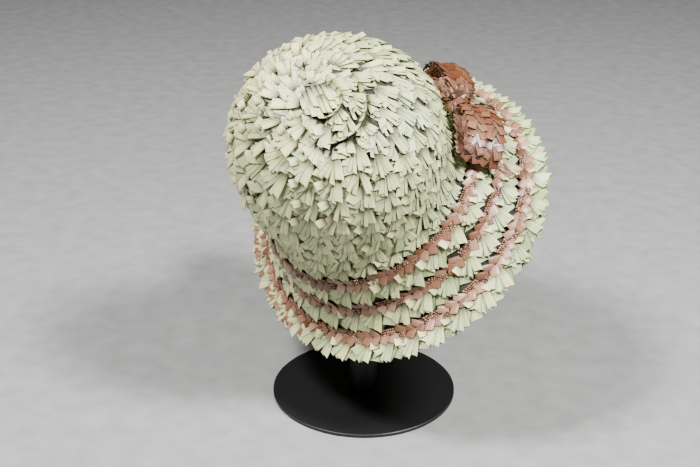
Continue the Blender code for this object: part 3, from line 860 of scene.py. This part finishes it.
def plaited_material(name, stops, dark, roughness, fibres, relief, painted_root_shade):
    """Split straw or copper plait: a tint for each leaf, fibres along it, and painted shade at the
    root and along the long edges.
    """
    made, nodes, links, shader = new_material(name)
    fibre = nodes.new("ShaderNodeGroup")
    fibre.node_tree = fibre_group()
    fibre.inputs["Count"].default_value = fibres
    tint = nodes.new("ShaderNodeAttribute")
    tint.attribute_name = "tint"
    tints = nodes.new("ShaderNodeValToRGB")
    bar = tints.color_ramp
    while len(bar.elements) < len(stops):
        bar.elements.new(0.5)
    for element, (place, tone) in zip(bar.elements, stops):
        element.position = place
        element.color = (*tone, 1.0)
    links.new(tint.outputs["Fac"], tints.inputs["Fac"])
    tone = tints.outputs["Color"]
    # Fibre streaks darken towards the gap colour; the root and the long edges of each leaf or cell
    # darken too, as painted shade.
    for value, *bounds in (("Mask", 0.34, 0.66, 0.16, 0.0), ("Along", 0.05, 0.55, painted_root_shade, 0.0),
                           ("Edge", 0.41, 0.50, 0.0, 0.85)):
        amount = ranged(nodes, links, fibre.outputs[value], *bounds)
        tone = mix_colour(nodes, links, amount, tone, dark)
    links.new(tone, shader.inputs["Base Color"])
    links.new(ranged(nodes, links, fibre.outputs["Mask"], 0.3, 0.7, roughness - 0.08,
                     roughness + 0.10), shader.inputs["Roughness"])
    relieve(nodes, links, shader, fibre.outputs["Mask"], relief, 0.0004)
    return made


def straw_material(colours):
    """The straw of the leaves, from cream to sage green."""
    return plaited_material(
        "straw_leaf", [(0.0, colours.straw_cream), (0.45, colours.straw_pale),
                       (1.0, colours.straw_sage)],
        colours.straw_gap_shade, 0.40, 16.0, 0.50, 0.88)


def copper_material(colours):
    """The copper plait of the bands, the tails and the bow."""
    return plaited_material(
        "copper_cells", [(0.0, colours.copper_pale), (0.45, colours.copper_mid),
                         (1.0, colours.copper_deep)],
        colours.copper_gap_shade, 0.33, 12.0, 0.35, 0.45)


def foot_material(name, tone):
    """The foot between the tufts or under the copper cells, near black as painted shade, with fine
    noise.
    """
    made, nodes, links, shader = new_material(name)
    light = tuple(min(1.0, value * 2.2) for value in tone)
    links.new(mix_colour(nodes, links, noise_of(nodes, links, None, 260.0, 2.0), tone, light),
              shader.inputs["Base Color"])
    shader.inputs["Roughness"].default_value = 0.8
    return made


def lining_material(colours):
    """The plain flat plait of the inside, whose UV holds metres round and along the rows."""
    made, nodes, links, shader = new_material("straw_lining")
    flat = nodes.new("ShaderNodeUVMap")
    flat.uv_map = "UVMap"
    braid = nodes.new("ShaderNodeTexBrick")
    for name, value in (("Scale", 1.0), ("Brick Width", 0.0046), ("Row Height", 0.0022),
                        ("Mortar Size", 0.00025), ("Color1", colours.straw_pale),
                        ("Color2", colours.straw_cream), ("Mortar", colours.straw_sage)):
        feed(links, braid.inputs[name], value)
    links.new(flat.outputs[0], braid.inputs["Vector"])
    links.new(braid.outputs["Color"], shader.inputs["Base Color"])
    shader.inputs["Roughness"].default_value = 0.6
    relieve(nodes, links, shader, braid.outputs["Fac"], 0.5, 0.0005, sunk=True)
    return made


def coat_material(name, tone, roughness, scale, relief):
    """Matt powder coat or cloth, from fine noise on the object's own coordinates."""
    made, nodes, links, shader = new_material(name)
    grain = noise_of(nodes, links, None, scale, 4.0)
    light = tuple(min(1.0, value * 1.6 + 0.002) for value in tone)
    links.new(mix_colour(nodes, links, grain, tone, light), shader.inputs["Base Color"])
    links.new(ranged(nodes, links, grain, 0.3, 0.7, roughness - 0.06, roughness + 0.06),
              shader.inputs["Roughness"])
    relieve(nodes, links, shader, grain, relief, 0.0002)
    return made


def near(chance, middle, spread):
    """A tint near a middle value, kept from 0 to 1."""
    return float(np.clip(chance.normal(middle, spread), 0.0, 1.0))


def amid(chance, low, high):
    """A tint anywhere between two values."""
    return float(chance.uniform(low, high))


def swing(chance, middle, spread):
    """An angle in radians near a middle value in degrees."""
    return math.radians(chance.normal(middle, spread))


def plant_row(planting, sizes, chance, start, end, on_crown, open_ends=()):
    """One sewn row of tufts: broad leaves below, then a fan of pleats, a panel and a flap."""
    middle = (start + end) / 2
    radius = max(0.008, float(SURFACE.width_at(middle)))
    units = max(4, round(2 * math.pi * radius / sizes.unit_pitch))
    pitch = 2 * math.pi / units
    phase = chance.uniform(0.0, pitch)
    root = max(0.001, start - sizes.overlap)
    reach = end - root + (sizes.reach if end in open_ends else -BAND_CLEAR)
    calm = max(0.0, 1.0 - middle / CALM_UNTIL)
    more, slant = (0.0, 0.0) if on_crown else (BRIM_MORE, BRIM_SLANT)
    for unit in range(units):
        turn = phase + (unit + chance.normal(0.0, 0.05)) * pitch
        by_bow = max(0.0, math.cos(turn - BOW_TURN)) * float(on_crown)
        hollow = float(SURFACE.dent(start, turn)) / (CREASE_LOOK * CREASE_DEPTH)
        bare = CREASE_BARE * hollow + (TIP_BARE if start == TIP_ENDS[0] else 0.0)
        lift = sizes.tip_lift * chance.uniform(0.85, 1.2) * (1.0 - 0.6 * by_bow)
        lift += 0.002 * float(SURFACE.dent(end, turn)) / CREASE_DEPTH
        tone = chance.uniform(0.12, 0.42) + 0.10 * math.cos(turn) + 0.5 * middle
        leaves = list(TUFT)
        if chance.random() < 0.25 + 0.6 * by_bow:
            leaves.pop()
        fan = max(2, round(sizes.pleats * (1.0 - 0.5 * calm) + 2.5 * by_bow))
        for index in range(fan):
            share = index / max(1, fan - 1)
            leaves.append((PLEAT, (0.01 + 0.06 * share) - 0.3 * by_bow * (1.0 - share), 0.04,
                           0.0013 + 0.0003 * share, -37 + 26 * share, 1.0, 0.76 + 0.22 * share,
                           sizes.pleat_width * (1.0 + 0.6 * calm) / sizes.broad_width, -14, 0.04))
        for kind, shift, out, low, lean, long, high, width, roll, tint in leaves:
            planting.on_surface(
                root + bare + out * reach, turn + shift * pitch,
                low * (1.0 - 0.6 * by_bow),
                math.radians(lean - CALM_SLANT * calm - slant + chance.normal(0.0, 5.0)),
                (long + more) * (reach - bare) * chance.uniform(0.93, 1.05), high * lift,
                width * sizes.broad_width * (1.0 - 0.35 * by_bow + more), sizes.thickness,
                kind=kind, roll=math.radians(roll * (1.0 + 0.8 * by_bow) + chance.normal(0.0, 4.0)),
                tint=near(chance, tone + tint, 0.07))


def tip_point(right, down, height):
    """A place on the crown's tip, by distances to the viewer's right and down from its centre."""
    turn = math.atan2(right * math.sin(TIP_RIGHT) + down * math.sin(TIP_DOWN),
                      right * math.cos(TIP_RIGHT) + down * math.cos(TIP_DOWN))
    return SURFACE.point(math.hypot(right, down), turn, height)


def plant_tip(planting, sizes, chance):
    """The coiled start of the plait: upright leaves side by side, and a strip that ends them."""
    up = SURFACE.normal(0.001, 0.0)
    for right in np.linspace(-0.0150, 0.0150, 7):
        half = 0.017 * math.sqrt(1.0 - (right / 0.020)**2)
        for top, foot, low, high in ((-1.0, 0.35, 0.0010, 0.0030), (-0.3, 0.95, 0.0016, 0.0038)):
            planting.add(tip_point(right * 0.9 + 0.0012 * top, top * half, low),
                         tip_point(right, foot * half, high * chance.uniform(0.8, 1.2)), up,
                         0.0060, sizes.thickness, kind=PANEL,
                         roll=swing(chance, -12.0, 9.0),
                         tint=amid(chance, 0.15, 0.55))
    for spot, radius in TIP_STRIPS:
        for index in range(len(spot) - 1):
            turn, after = (math.radians(value) for value in spot[index:index + 2])
            planting.add(SURFACE.point(radius[index], turn, 0.0044),
                         SURFACE.point(radius[index + 1], after, 0.0050),
                         SURFACE.normal(radius[index], turn), 0.0064, sizes.thickness, kind=BROAD,
                         roll=math.radians(62.0), tint=amid(chance, 0.0, 0.3))


def build_lining():
    """One closed thin shell from the crown's tip to the rim, near black outside as painted shade
    between the tufts, and plaited inside.
    """
    colours = bpy.context.scene.bonnet_colours
    step = 0.0030
    last = SURFACE.at["rim"] - 0.0055
    stops = np.linspace(0.0, last, round(last / step) + 1)[1:]
    sides = 128
    turns = np.arange(sides) * (2 * math.pi / sides)
    row = 0.0088
    outer = [SURFACE.point(stop, turns, 0.0) for stop in stops]
    inner = []
    for stop in stops:
        ridge = 0.0007 * ((stop / row) % 1.0)
        inner.append(SURFACE.point(stop, turns, -STRAW_WALL - ridge))
    points = [SURFACE.point(0.0, 0.0, 0.0)]
    uvs = [(0.0, 0.0)]
    for ring, stop in zip(outer, stops):
        points += list(ring)
        uvs += [(turn * float(SURFACE.width_at(stop)), stop) for turn in turns]
    for ring, stop in zip(inner[::-1], stops[::-1]):
        points += list(ring)
        uvs += [(turn * float(SURFACE.width_at(stop)), stop) for turn in turns]
    points.append(SURFACE.point(0.0, 0.0, -STRAW_WALL))
    uvs.append((0.0, 0.0))
    rings = 2 * len(stops)
    pole = len(points) - 1
    faces = []
    for side in range(sides):
        after = (side + 1) % sides
        faces.append((0, 1 + side, 1 + after))
        for ring in range(rings - 1):
            low = 1 + ring * sides
            faces.append((low + side, low + sides + side, low + sides + after, low + after))
        low = 1 + (rings - 1) * sides
        faces.append((low + side, pole, low + after))
    made = add_mesh("straw_lining", points, faces, uvs)
    made.data.materials.append(foot_material("straw_foot", tuple(colours.straw_gap_shade)))
    made.data.materials.append(lining_material(colours))
    split = len(stops)
    for face in made.data.polygons:
        lowest = min(face.vertices)
        face.material_index = 0 if lowest <= split * sides else 1
    return made


class BONNET_OT_sew_crown(bpy.types.Operator):
    """Sew the straw rows of the crown over its three pieces"""

    bl_idname = "bonnet.sew_crown"
    bl_label = "Sew Crown"

    def execute(self, context):
        sizes = context.scene.bonnet_straw
        finish = straw_material(context.scene.bonnet_colours)
        chance = np.random.default_rng(sizes.seed)
        kit = straw_kit()
        parts = crown_rows()
        open_ends = set(TIP_ENDS) | {end for _, ends in parts for end in ends} - {parts[-1][1][-1]}
        for name, ends in parts:
            planting = Planting()
            if name == "crown_tip":
                plant_tip(planting, sizes, chance)
                ends = (*TIP_ENDS, ends[-1])
            for start, end in zip(ends[:-1], ends[1:]):
                plant_row(planting, sizes, chance, start, end, True, open_ends)
            made = planting.build(name + "_straw", kit, finish, 0.06, math.radians(4.0),
                                  sizes.seed)
            dress(made, "straw", name)
        clear_kit(kit)
        return {"FINISHED"}


class BONNET_OT_sew_brim(bpy.types.Operator):
    """Sew the straw rows of the brim and the lining of the whole bonnet"""

    bl_idname = "bonnet.sew_brim"
    bl_label = "Sew Brim and Lining"

    def execute(self, context):
        sizes = context.scene.bonnet_straw
        finish = bpy.data.materials["straw_leaf"]
        chance = np.random.default_rng(sizes.seed + 1)
        kit = straw_kit()
        for run in BRIM_RUNS:
            planting = Planting()
            _, end = run_ends(run)
            _, edge = band_edges(run)
            plant_row(planting, sizes, chance, edge, end, False)
            made = planting.build(run[0] + "_straw", kit, finish, 0.06, math.radians(4.0),
                                  sizes.seed)
            dress(made, "straw", run[0])
        clear_kit(kit)
        dress(build_lining(), "straw")
        return {"FINISHED"}


def bead_patch(planting, sizes, chance, distance, turn, height, along, across):
    """A stretch of fine bead-like plait, centred on a place of the bonnet."""
    size = sizes.bead
    radius = float(SURFACE.width_at(distance))
    for row in range(max(2, round(across / size))):
        count = max(3, round(along / size))
        for col in range(count):
            out = distance - across / 2 + (row + 0.5) * size
            side = (col - count / 2 + 0.5 * (row % 2) + chance.normal(0, 0.12)) * size
            root = SURFACE.point(out, turn + side / radius, height + chance.normal(0, 0.0003))
            end = SURFACE.point(out + size * 1.05, turn + side / radius, height)
            planting.add(root, end, SURFACE.normal(out, turn), size * 1.08, size * 0.95,
                         kind=BEAD, tint=amid(chance, 0.05, 0.8))


def plait_band(planting, sizes, chance, run):
    """One copper band: tabs outside, flat cells inside, and a bead strand that crosses it."""
    start, edge = band_edges(run)
    middle = (start + edge) / 2
    radius = float(SURFACE.width_at(middle))
    count = round(2 * math.pi * radius / sizes.cell_pitch)
    count -= count % sizes.bead_every
    pitch = 2 * math.pi / count
    base = GAP + 0.0010
    for index in range(count):
        turn = index * pitch + chance.normal(0, 0.05) * pitch
        phase = index % sizes.bead_every
        if phase in (0, 1):
            if phase == 0:
                bead_patch(planting, sizes, chance, start + 0.0045, turn + pitch / 2,
                           base + 0.0012, 1.7 * sizes.cell_pitch, 0.0078)
        else:
            planting.on_surface(start + 0.0006, turn - 0.62 * pitch, base + 0.0016,
                                swing(chance, 54, 3), sizes.cell_length, base + 0.0008,
                                sizes.cell_width, CELL_THICKNESS, kind=CELL,
                                roll=swing(chance, 8, 3), tint=near(chance, 0.60, 0.20))
        if phase == 2:
            bead_patch(planting, sizes, chance, edge - 0.0040, turn - pitch * 0.1,
                       base + 0.0012, 1.0 * sizes.cell_pitch, 0.0066)
        else:
            planting.on_surface(start + 0.0058, turn + 0.30 * pitch, base + 0.0008,
                                swing(chance, -35, 3), sizes.tab_length, base + 0.0022,
                                sizes.tab_width, CELL_THICKNESS, kind=TAB,
                                roll=swing(chance, 9, 2), tint=near(chance, 0.38, 0.20))


def band_core(name, run, tone):
    """The strip under a band's cells, near black as painted shade between them, a closed ring of
    four corners.
    """
    start, edge = band_edges(run)
    sides = 128
    turns = np.arange(sides) * (2 * math.pi / sides)
    rings = [SURFACE.point(distance, turns, height)
             for distance, height in ((start, GAP), (start + 0.0006, GAP + 0.0009),
                                      (edge - 0.0006, ramp(run, edge) + GAP + 0.0006),
                                      (edge, ramp(run, edge) + GAP - 0.0002))]
    points = [p for ring in rings for p in ring]
    faces = []
    for index in range(4):
        low = index * sides
        high = ((index + 1) % 4) * sides
        for side in range(sides):
            after = (side + 1) % sides
            faces.append((low + side, high + side, high + after, low + after))
    made = add_mesh(name, points, faces)
    made.data.materials.append(foot_material(name + "_foot", tone))
    return made


class BONNET_OT_plait_bands(bpy.types.Operator):
    """Plait the three copper bands and the short one by the rim"""

    bl_idname = "bonnet.plait_bands"
    bl_label = "Plait Copper Bands"

    def execute(self, context):
        sizes = context.scene.bonnet_plait
        colours = context.scene.bonnet_colours
        finish = copper_material(colours)
        chance = np.random.default_rng(sizes.seed)
        kit = copper_kit()
        for run in BRIM_RUNS:
            planting = Planting()
            plait_band(planting, sizes, chance, run)
            made = planting.build(run[3] + "_plait", kit, finish, 0.05, math.radians(4.0),
                                  sizes.seed)
            dress(made, "copper_plait", run[3])
            dress(band_core(run[3] + "_core", run, tuple(colours.copper_gap_shade)), "copper_plait")
        planting = Planting()
        run = BRIM_RUNS[-1]
        distance = (band_edges(run)[1] + SURFACE.at["rim"]) / 2 - 0.002
        radius = float(SURFACE.width_at(distance))
        turn = RIM_BAND_START
        while turn < RIM_BAND_END:
            planting.on_surface(distance, turn, 0.0028, math.radians(-30), 0.0075, 0.0040,
                                0.0070, CELL_THICKNESS, kind=TAB, tint=amid(chance, 0.2, 0.6))
            turn += 0.0066 / radius
        dress(planting.build("band_rim_plait", kit, finish, 0.05, math.radians(4.0), sizes.seed),
              "copper_plait", "band_rim")
        clear_kit(kit)
        return {"FINISHED"}


class Hoop:
    """A bow loop's skin, by share round the hoop, share across it and height off it."""

    def __init__(self, course, length_, height, width, side, curl):
        dense = smooth_curve(course, 8, closed=True)
        start = KNOT_LENGTH / 2 + GAP + PLAIT_THICKNESS / 2
        self.along = side * (start + (dense[:, 0] - dense[:, 0].min()) * length_)
        rise = (dense[:, 1] - dense[:, 1].min()) * (height - PLAIT_THICKNESS)
        self.up = bow_seat() + PLAIT_THICKNESS / 2 + rise
        self.sway = dense[:, 2]
        self.wide = dense[:, 3]
        self.width = width
        self.side = side
        self.curl = curl
        ahead = np.stack([np.roll(self.along, -1) - np.roll(self.along, 1),
                          np.roll(self.up, -1) - np.roll(self.up, 1)], 1)
        ahead /= np.linalg.norm(ahead, axis=1, keepdims=True)
        self.normal_along = ahead[:, 1] * side
        self.normal_up = -ahead[:, 0] * side
        steps = np.hypot(np.diff(np.append(self.along, self.along[0])),
                         np.diff(np.append(self.up, self.up[0])))
        self.arc = np.concatenate([[0.0], np.cumsum(steps)])

    def read(self, values, share):
        """A value at a share of the way round the hoop."""
        return np.interp(share % 1.0 * self.arc[-1], self.arc, np.append(values, values[0]))

    def point(self, share, across, lift):
        """A place on the strip or off its face."""
        place = self.read(self.along, share) + lift * self.read(self.normal_along, share)
        rise = self.read(self.up, share) + lift * self.read(self.normal_up, share)
        out = self.width * (self.read(self.sway, share) + across * self.read(self.wide, share))
        crumple = 0.0008 * math.sin(share * 41.0 + across * 9.0) * math.sin(across * 13.0 + 1.0)
        corner = math.exp(-((share % 1.0 - CURL_SHARE) / 0.07)**2) * max(0.0, -across - 0.1) / 0.4
        rise = rise + crumple + self.curl * corner
        return over_shoulder(np.array(BOW_TURN + place / SHOULDER_RADIUS), out, rise)

    def front(self, share, drop):
        """A place on the gathered front panel, along the loop and down from its top edge."""
        peak = int(np.argmax(np.abs(self.along)))
        place = abs(self.along[0]) + share * (abs(self.along[peak]) - abs(self.along[0]))
        top = np.interp(place, np.abs(self.along[:peak + 1]), self.up[:peak + 1])
        low = np.interp(place, np.abs(self.along[peak:][::-1]), self.up[peak:][::-1])
        out = -self.width * (0.56 + 0.10 * math.sin(math.pi * drop) - 0.16 * (1.0 - share))
        fold = 0.0012 * math.sin(drop * 16.0 + share * 3.0)
        turn = np.array(BOW_TURN + self.side * place / SHOULDER_RADIUS)
        return over_shoulder(turn, out + fold, top + (low - top) * drop)


def hoop_core(name, hoop, tone):
    """The hoop's plain strip, closed, that shows between its cells, near black as painted shade."""
    stations, across = 72, 9
    half = PLAIT_THICKNESS / 2 - 0.0002
    points = []
    for lift in (half, -half):
        for station in range(stations):
            for col in range(across):
                points.append(hoop.point(station / stations, col / (across - 1) - 0.5, lift))
    shift = stations * across
    faces = []
    for station in range(stations):
        low = station * across
        high = (station + 1) % stations * across
        for col in range(across - 1):
            faces.append((low + col, low + col + 1, high + col + 1, high + col))
            faces.append((low + col + shift, high + col + shift, high + col + 1 + shift,
                          low + col + 1 + shift))
        for col, order in ((0, 1), (across - 1, -1)):
            edge = (low + col, high + col, high + col + shift, low + col + shift)
            faces.append(edge[::order])
    made = add_mesh(name, points, faces)
    made.data.materials.append(foot_material(name + "_foot", tone))
    return made


def plait_hoop(planting, sizes, chance, hoop):
    """Chevron cells over a hoop's outside and inside, with strands of beads across the outside."""
    columns = max(3, round(hoop.width / sizes.bow_cell))
    rows = round(hoop.arc[-1] / (sizes.bow_cell * 0.78))
    for face in (1.0, -1.0):
        for row in range(rows):
            share = row / rows
            for col in range(columns):
                across = (col + 0.5) / columns - 0.5
                slant = 0.85 if col % 2 else -0.85
                height = face * (PLAIT_THICKNESS / 2 + 0.0001)
                if face > 0 and (row + 2 * col) % 7 == 0:
                    bead_block(planting, sizes, chance, hoop, share, across, 1.0 / columns)
                    continue
                reach = sizes.bow_cell * 1.25 / hoop.arc[-1]
                root = hoop.point(share, across - slant * 0.42 / columns, height)
                end = hoop.point(share + reach, across + slant * 0.42 / columns,
                                 height + face * 0.0012)
                off = hoop.point(share + reach / 2, across, height + face * 0.002)
                on = hoop.point(share + reach / 2, across, height)
                planting.add(root, end, off - on, sizes.bow_cell * 0.98, CELL_THICKNESS,
                             kind=TAB if face > 0 else CELL,
                             roll=swing(chance, math.copysign(9.0, -slant), 2),
                             tint=near(chance, 0.36 if face > 0 else 0.8, 0.16))


def bead_block(planting, sizes, chance, hoop, share, across, wide):
    """A few rows of fine plait in the place of one chevron cell."""
    step = sizes.bead * 0.95
    count = max(2, round(wide * hoop.width / step))
    for row in range(4):
        for col in range(count):
            at = share + (row + 0.5) * step / hoop.arc[-1]
            place = across + wide * ((col + 0.5 * (row % 2) + 0.25) / count - 0.5)
            root = hoop.point(at, place, PLAIT_THICKNESS / 2 + 0.0006)
            end = hoop.point(at + step / hoop.arc[-1], place, PLAIT_THICKNESS / 2 + 0.0006)
            off = hoop.point(at, place, PLAIT_THICKNESS / 2 + 0.003)
            planting.add(root, end, off - root, step * 1.1, step, kind=BEAD,
                         tint=amid(chance, 0.0, 0.9))


def gather_front(planting, sizes, chance, hoop):
    """The folded layers that close the near half of the upper loop's opening."""
    for row in range(4):
        for col in range(5):
            drop = (col + 0.5) / 5
            share = row * 0.105
            root = hoop.front(share, drop - 0.08)
            end = hoop.front(share + 0.17, drop + (0.10 if col % 2 else -0.04))
            off = np.cross(end - root, hoop.front(share, drop + 0.1) - root)
            inward = hoop.front(share, drop) - hoop.point(0.3, 0.0, 0.0)
            if np.dot(off, inward) < 0:
                off = -off
            if (row + col) % 4 == 3:
                for index in range(7):
                    spot = hoop.front(share + 0.022 * index, drop + 0.05 * math.sin(index * 2.4))
                    beyond = hoop.front(share + 0.022 * index + 0.03, drop)
                    planting.add(spot, beyond, off, sizes.bead, sizes.bead, kind=BEAD,
                                 tint=amid(chance, 0.0, 0.8))
            else:
                planting.add(root, end, off, sizes.bow_cell * 0.78, 0.0007, kind=TAB,
                             roll=swing(chance, 0, 14), tint=near(chance, 0.42, 0.26))


def plait_knot(planting, chance):
    """Three rows of folds over the bow's gathered waist."""
    folds = 9
    half = 0.004 / SHOULDER_RADIUS
    for along in np.linspace(-0.5, 0.5, 3):
        turn = np.array(BOW_TURN + along * KNOT_LENGTH / SHOULDER_RADIUS)
        base = over_shoulder(turn, KNOT_SHIFT, bow_seat())
        for fold in range(folds):
            at = math.pi * (fold + 0.5 * (along == 0)) / folds
            out = KNOT_SHIFT - math.cos(at) * KNOT_WIDTH / 2
            up = bow_seat() + math.sin(at) * KNOT_HEIGHT
            planting.add(over_shoulder(turn - half, out, up), over_shoulder(turn + half, out, up),
                         over_shoulder(turn, out, up) - base, 0.0052, 0.0007, kind=TAB,
                         tint=amid(chance, 0.75, 1.0))


def knot_core(name, tone):
    """The bow's gathered waist under its folds, a closed arch pinched in the middle, near black as
    painted shade.
    """
    steps = 16
    stations = np.linspace(-0.5, 0.5, 7)
    points = []
    for along in stations:
        pinch = 0.90 + 0.4 * along**2
        turn = np.array(BOW_TURN + along * KNOT_LENGTH / SHOULDER_RADIUS)
        for step in range(steps + 1):
            at = math.pi * step / steps
            out = KNOT_SHIFT - math.cos(at) * KNOT_WIDTH / 2 * pinch
            up = bow_seat() + math.sin(at) * (KNOT_HEIGHT - 0.0004) * pinch
            points.append(over_shoulder(turn, out, up))
    ring = steps + 1
    faces = []
    for station in range(len(stations) - 1):
        low = station * ring
        for step in range(ring):
            after = (step + 1) % ring
            faces.append((low + step, low + after, low + ring + after, low + ring + step))
    faces.append(tuple(range(ring - 1, -1, -1)))
    faces.append(tuple((len(stations) - 1) * ring + step for step in range(ring)))
    made = add_mesh(name, points, faces)
    turn_outwards(made.data)
    made.data.materials.append(foot_material(name + "_foot", tone))
    return made


class BONNET_OT_tie_bow(bpy.types.Operator):
    """Tie the two plaited loops and the gathered waist of the bow"""

    bl_idname = "bonnet.tie_bow"
    bl_label = "Tie Bow"

    def execute(self, context):
        sizes = context.scene.bonnet_plait
        colours = context.scene.bonnet_colours
        finish = bpy.data.materials["copper_cells"]
        chance = np.random.default_rng(sizes.seed + 3)
        kit = copper_kit()
        for name, course, long, high, wide, side, curl in BOW_LOOPS:
            hoop = Hoop(course, long, high, wide, side, curl)
            planting = Planting()
            plait_hoop(planting, sizes, chance, hoop)
            if curl:
                gather_front(planting, sizes, chance, hoop)
            made = planting.build(name + "_plait", kit, finish, 0.04, math.radians(2.5),
                                  sizes.seed)
            dress(made, "bow_plait", name)
            dress(hoop_core(name + "_core", hoop, tuple(colours.copper_gap_shade)), "bow_plait")
        planting = Planting()
        plait_knot(planting, chance)
        dress(planting.build("bow_knot_plait", kit, finish, 0.05, math.radians(6.0), sizes.seed),
              "bow_plait", "bow_knot")
        dress(knot_core("bow_knot_core", tuple(colours.copper_gap_shade)), "bow_plait")
        clear_kit(kit)
        return {"FINISHED"}


class BONNET_OT_plait_tails(bpy.types.Operator):
    """Plait the two narrow tails that run from the bow to the outer band"""

    bl_idname = "bonnet.plait_tails"
    bl_label = "Plait Tails"

    def execute(self, context):
        sizes = context.scene.bonnet_plait
        finish = bpy.data.materials["copper_cells"]
        chance = np.random.default_rng(sizes.seed + 4)
        kit = copper_kit()
        radius = SHOULDER_RADIUS
        run = SURFACE.at["outer_band"] - SURFACE.at["inner_band"]
        seat = band_top(BRIM_RUNS[1]) + GAP
        for name, course in (("bow_tail_long", LONG_TAIL), ("bow_tail_short", SHORT_TAIL)):
            path = smooth_curve(course, 12)
            turns = BOW_TURN - path[:, 0] * LOWER_LOOP_LENGTH / radius
            outs = SURFACE.at["inner_band"] + path[:, 1] * run
            points = SURFACE.point(outs, turns, seat + 0.0010)
            arc = np.concatenate([[0.0], np.cumsum(np.linalg.norm(np.diff(points, axis=0),
                                                                  axis=1))])
            planting = Planting()
            step = 0.0030
            for index in range(int(arc[-1] / step)):
                here = index * step
                for side in (-1, 1):
                    ends = []
                    for offset, away in ((0.0, 0.42), (1.9 * step, 0.10)):
                        out = np.interp(here + offset, arc, outs)
                        turn = np.interp(here + offset, arc, turns)
                        ahead_out = np.interp(here + offset + 1e-3, arc, outs) - out
                        ahead_turn = (np.interp(here + offset + 1e-3, arc, turns) - turn) * radius
                        size = max(1e-9, math.hypot(ahead_out, ahead_turn))
                        shift = side * away * TAIL_WIDTH
                        ends.append(SURFACE.point(out + ahead_turn / size * -shift,
                                                  turn + ahead_out / size * shift / radius,
                                                  seat + 0.0008 + offset * 0.15))
                    planting.add(*ends, SURFACE.normal(out, turn), 0.0034, CELL_THICKNESS,
                                 kind=TAB, tint=amid(chance, 0.2, 0.8))
            dress(planting.build(name + "_plait", kit, finish, 0.05, math.radians(5.0),
                                 sizes.seed), "copper_plait", name)
        clear_kit(kit)
        return {"FINISHED"}


class BONNET_OT_finish_stand(bpy.types.Operator):
    """Give the stand its matt black powder coat and the cap its cloth"""

    bl_idname = "bonnet.finish_stand"
    bl_label = "Finish Stand"

    def execute(self, context):
        colours = context.scene.bonnet_colours
        coat = coat_material("stand_coat", tuple(colours.stand), 0.46, 900.0, 0.12)
        cloth = coat_material("cap_cloth", tuple(colours.cap), 0.85, 1400.0, 0.5)
        for name, finish in (("stand_base", coat), ("stand_post", coat), ("stand_cap", cloth)):
            mesh = frame["nodes"][name].data
            mesh.materials.clear()
            mesh.materials.append(finish)
        return {"FINISHED"}


class BONNET_OT_set_stage(bpy.types.Operator):
    """Lay the floor, hang the soft lights and set the camera"""

    bl_idname = "bonnet.set_stage"
    bl_label = "Set Stage"

    def execute(self, context):
        scene = context.scene
        floor = add_mesh("floor", [(-8, -6, 0), (8, -6, 0), (8, 12, 0), (-8, 12, 0)],
                         [(0, 1, 2, 3)])
        floor.data.materials.append(
            coat_material("floor_paper", tuple(scene.bonnet_colours.floor), 0.8, 40.0, 0.05))
        world = bpy.data.worlds.new("studio")
        world.use_nodes = True
        world.node_tree.nodes["Background"].inputs["Color"].default_value = (0.95, 0.97, 1.0, 1.0)
        world.node_tree.nodes["Background"].inputs["Strength"].default_value = 0.012
        scene.world = world
        for name, place, size, power in LAMPS:
            light = bpy.data.lights.new(name, "AREA")
            light.size = size
            light.energy = power
            lamp = bpy.data.objects.new(name, light)
            lamp.location = place
            aim = Vector(LAMP_AIM) - Vector(place)
            lamp.rotation_euler = aim.to_track_quat("-Z", "Y").to_euler()
            scene.collection.objects.link(lamp)
        view = bpy.data.cameras.new("camera")
        view.lens = CAMERA_LENS
        view.sensor_width = CAMERA_SENSOR
        camera = bpy.data.objects.new("camera", view)
        camera.location = CAMERA_PLACE
        camera.rotation_euler = (CAMERA_TILT, 0.0, 0.0)
        scene.collection.objects.link(camera)
        scene.camera = camera
        return {"FINISHED"}


class BONNET_PT_sidebar(bpy.types.Panel):
    """Buttons that build each part of the bonnet, with its sizes and colours"""

    bl_idname = "BONNET_PT_sidebar"
    bl_label = "Straw Poke Bonnet"
    bl_space_type = "VIEW_3D"
    bl_region_type = "UI"
    bl_category = "Bonnet"

    def draw(self, context):
        for step in STEPS:
            self.layout.operator("bonnet." + step)
        for group in (context.scene.bonnet_straw, context.scene.bonnet_plait,
                      context.scene.bonnet_colours):
            box = self.layout.box()
            for name in group.bl_rna.properties.keys():
                if name not in ("rna_type", "name"):
                    box.prop(group, name)


STEPS = ("sew_crown", "sew_brim", "plait_bands", "tie_bow", "plait_tails", "finish_stand",
         "set_stage")
CLASSES = (BonnetStrawSizes, BonnetPlaitSizes, BonnetColours, BONNET_OT_sew_crown,
           BONNET_OT_sew_brim, BONNET_OT_plait_bands, BONNET_OT_tie_bow, BONNET_OT_plait_tails,
           BONNET_OT_finish_stand, BONNET_OT_set_stage, BONNET_PT_sidebar)


def register():
    for item in CLASSES:
        bpy.utils.register_class(item)
    bpy.types.Scene.bonnet_straw = bpy.props.PointerProperty(type=BonnetStrawSizes)
    bpy.types.Scene.bonnet_plait = bpy.props.PointerProperty(type=BonnetPlaitSizes)
    bpy.types.Scene.bonnet_colours = bpy.props.PointerProperty(type=BonnetColours)


def unregister():
    del bpy.types.Scene.bonnet_colours
    del bpy.types.Scene.bonnet_plait
    del bpy.types.Scene.bonnet_straw
    for item in reversed(CLASSES):
        bpy.utils.unregister_class(item)


def main():
    register()
    for step in STEPS:
        getattr(bpy.ops.bonnet, step)()


if __name__ == "__main__":
    main()
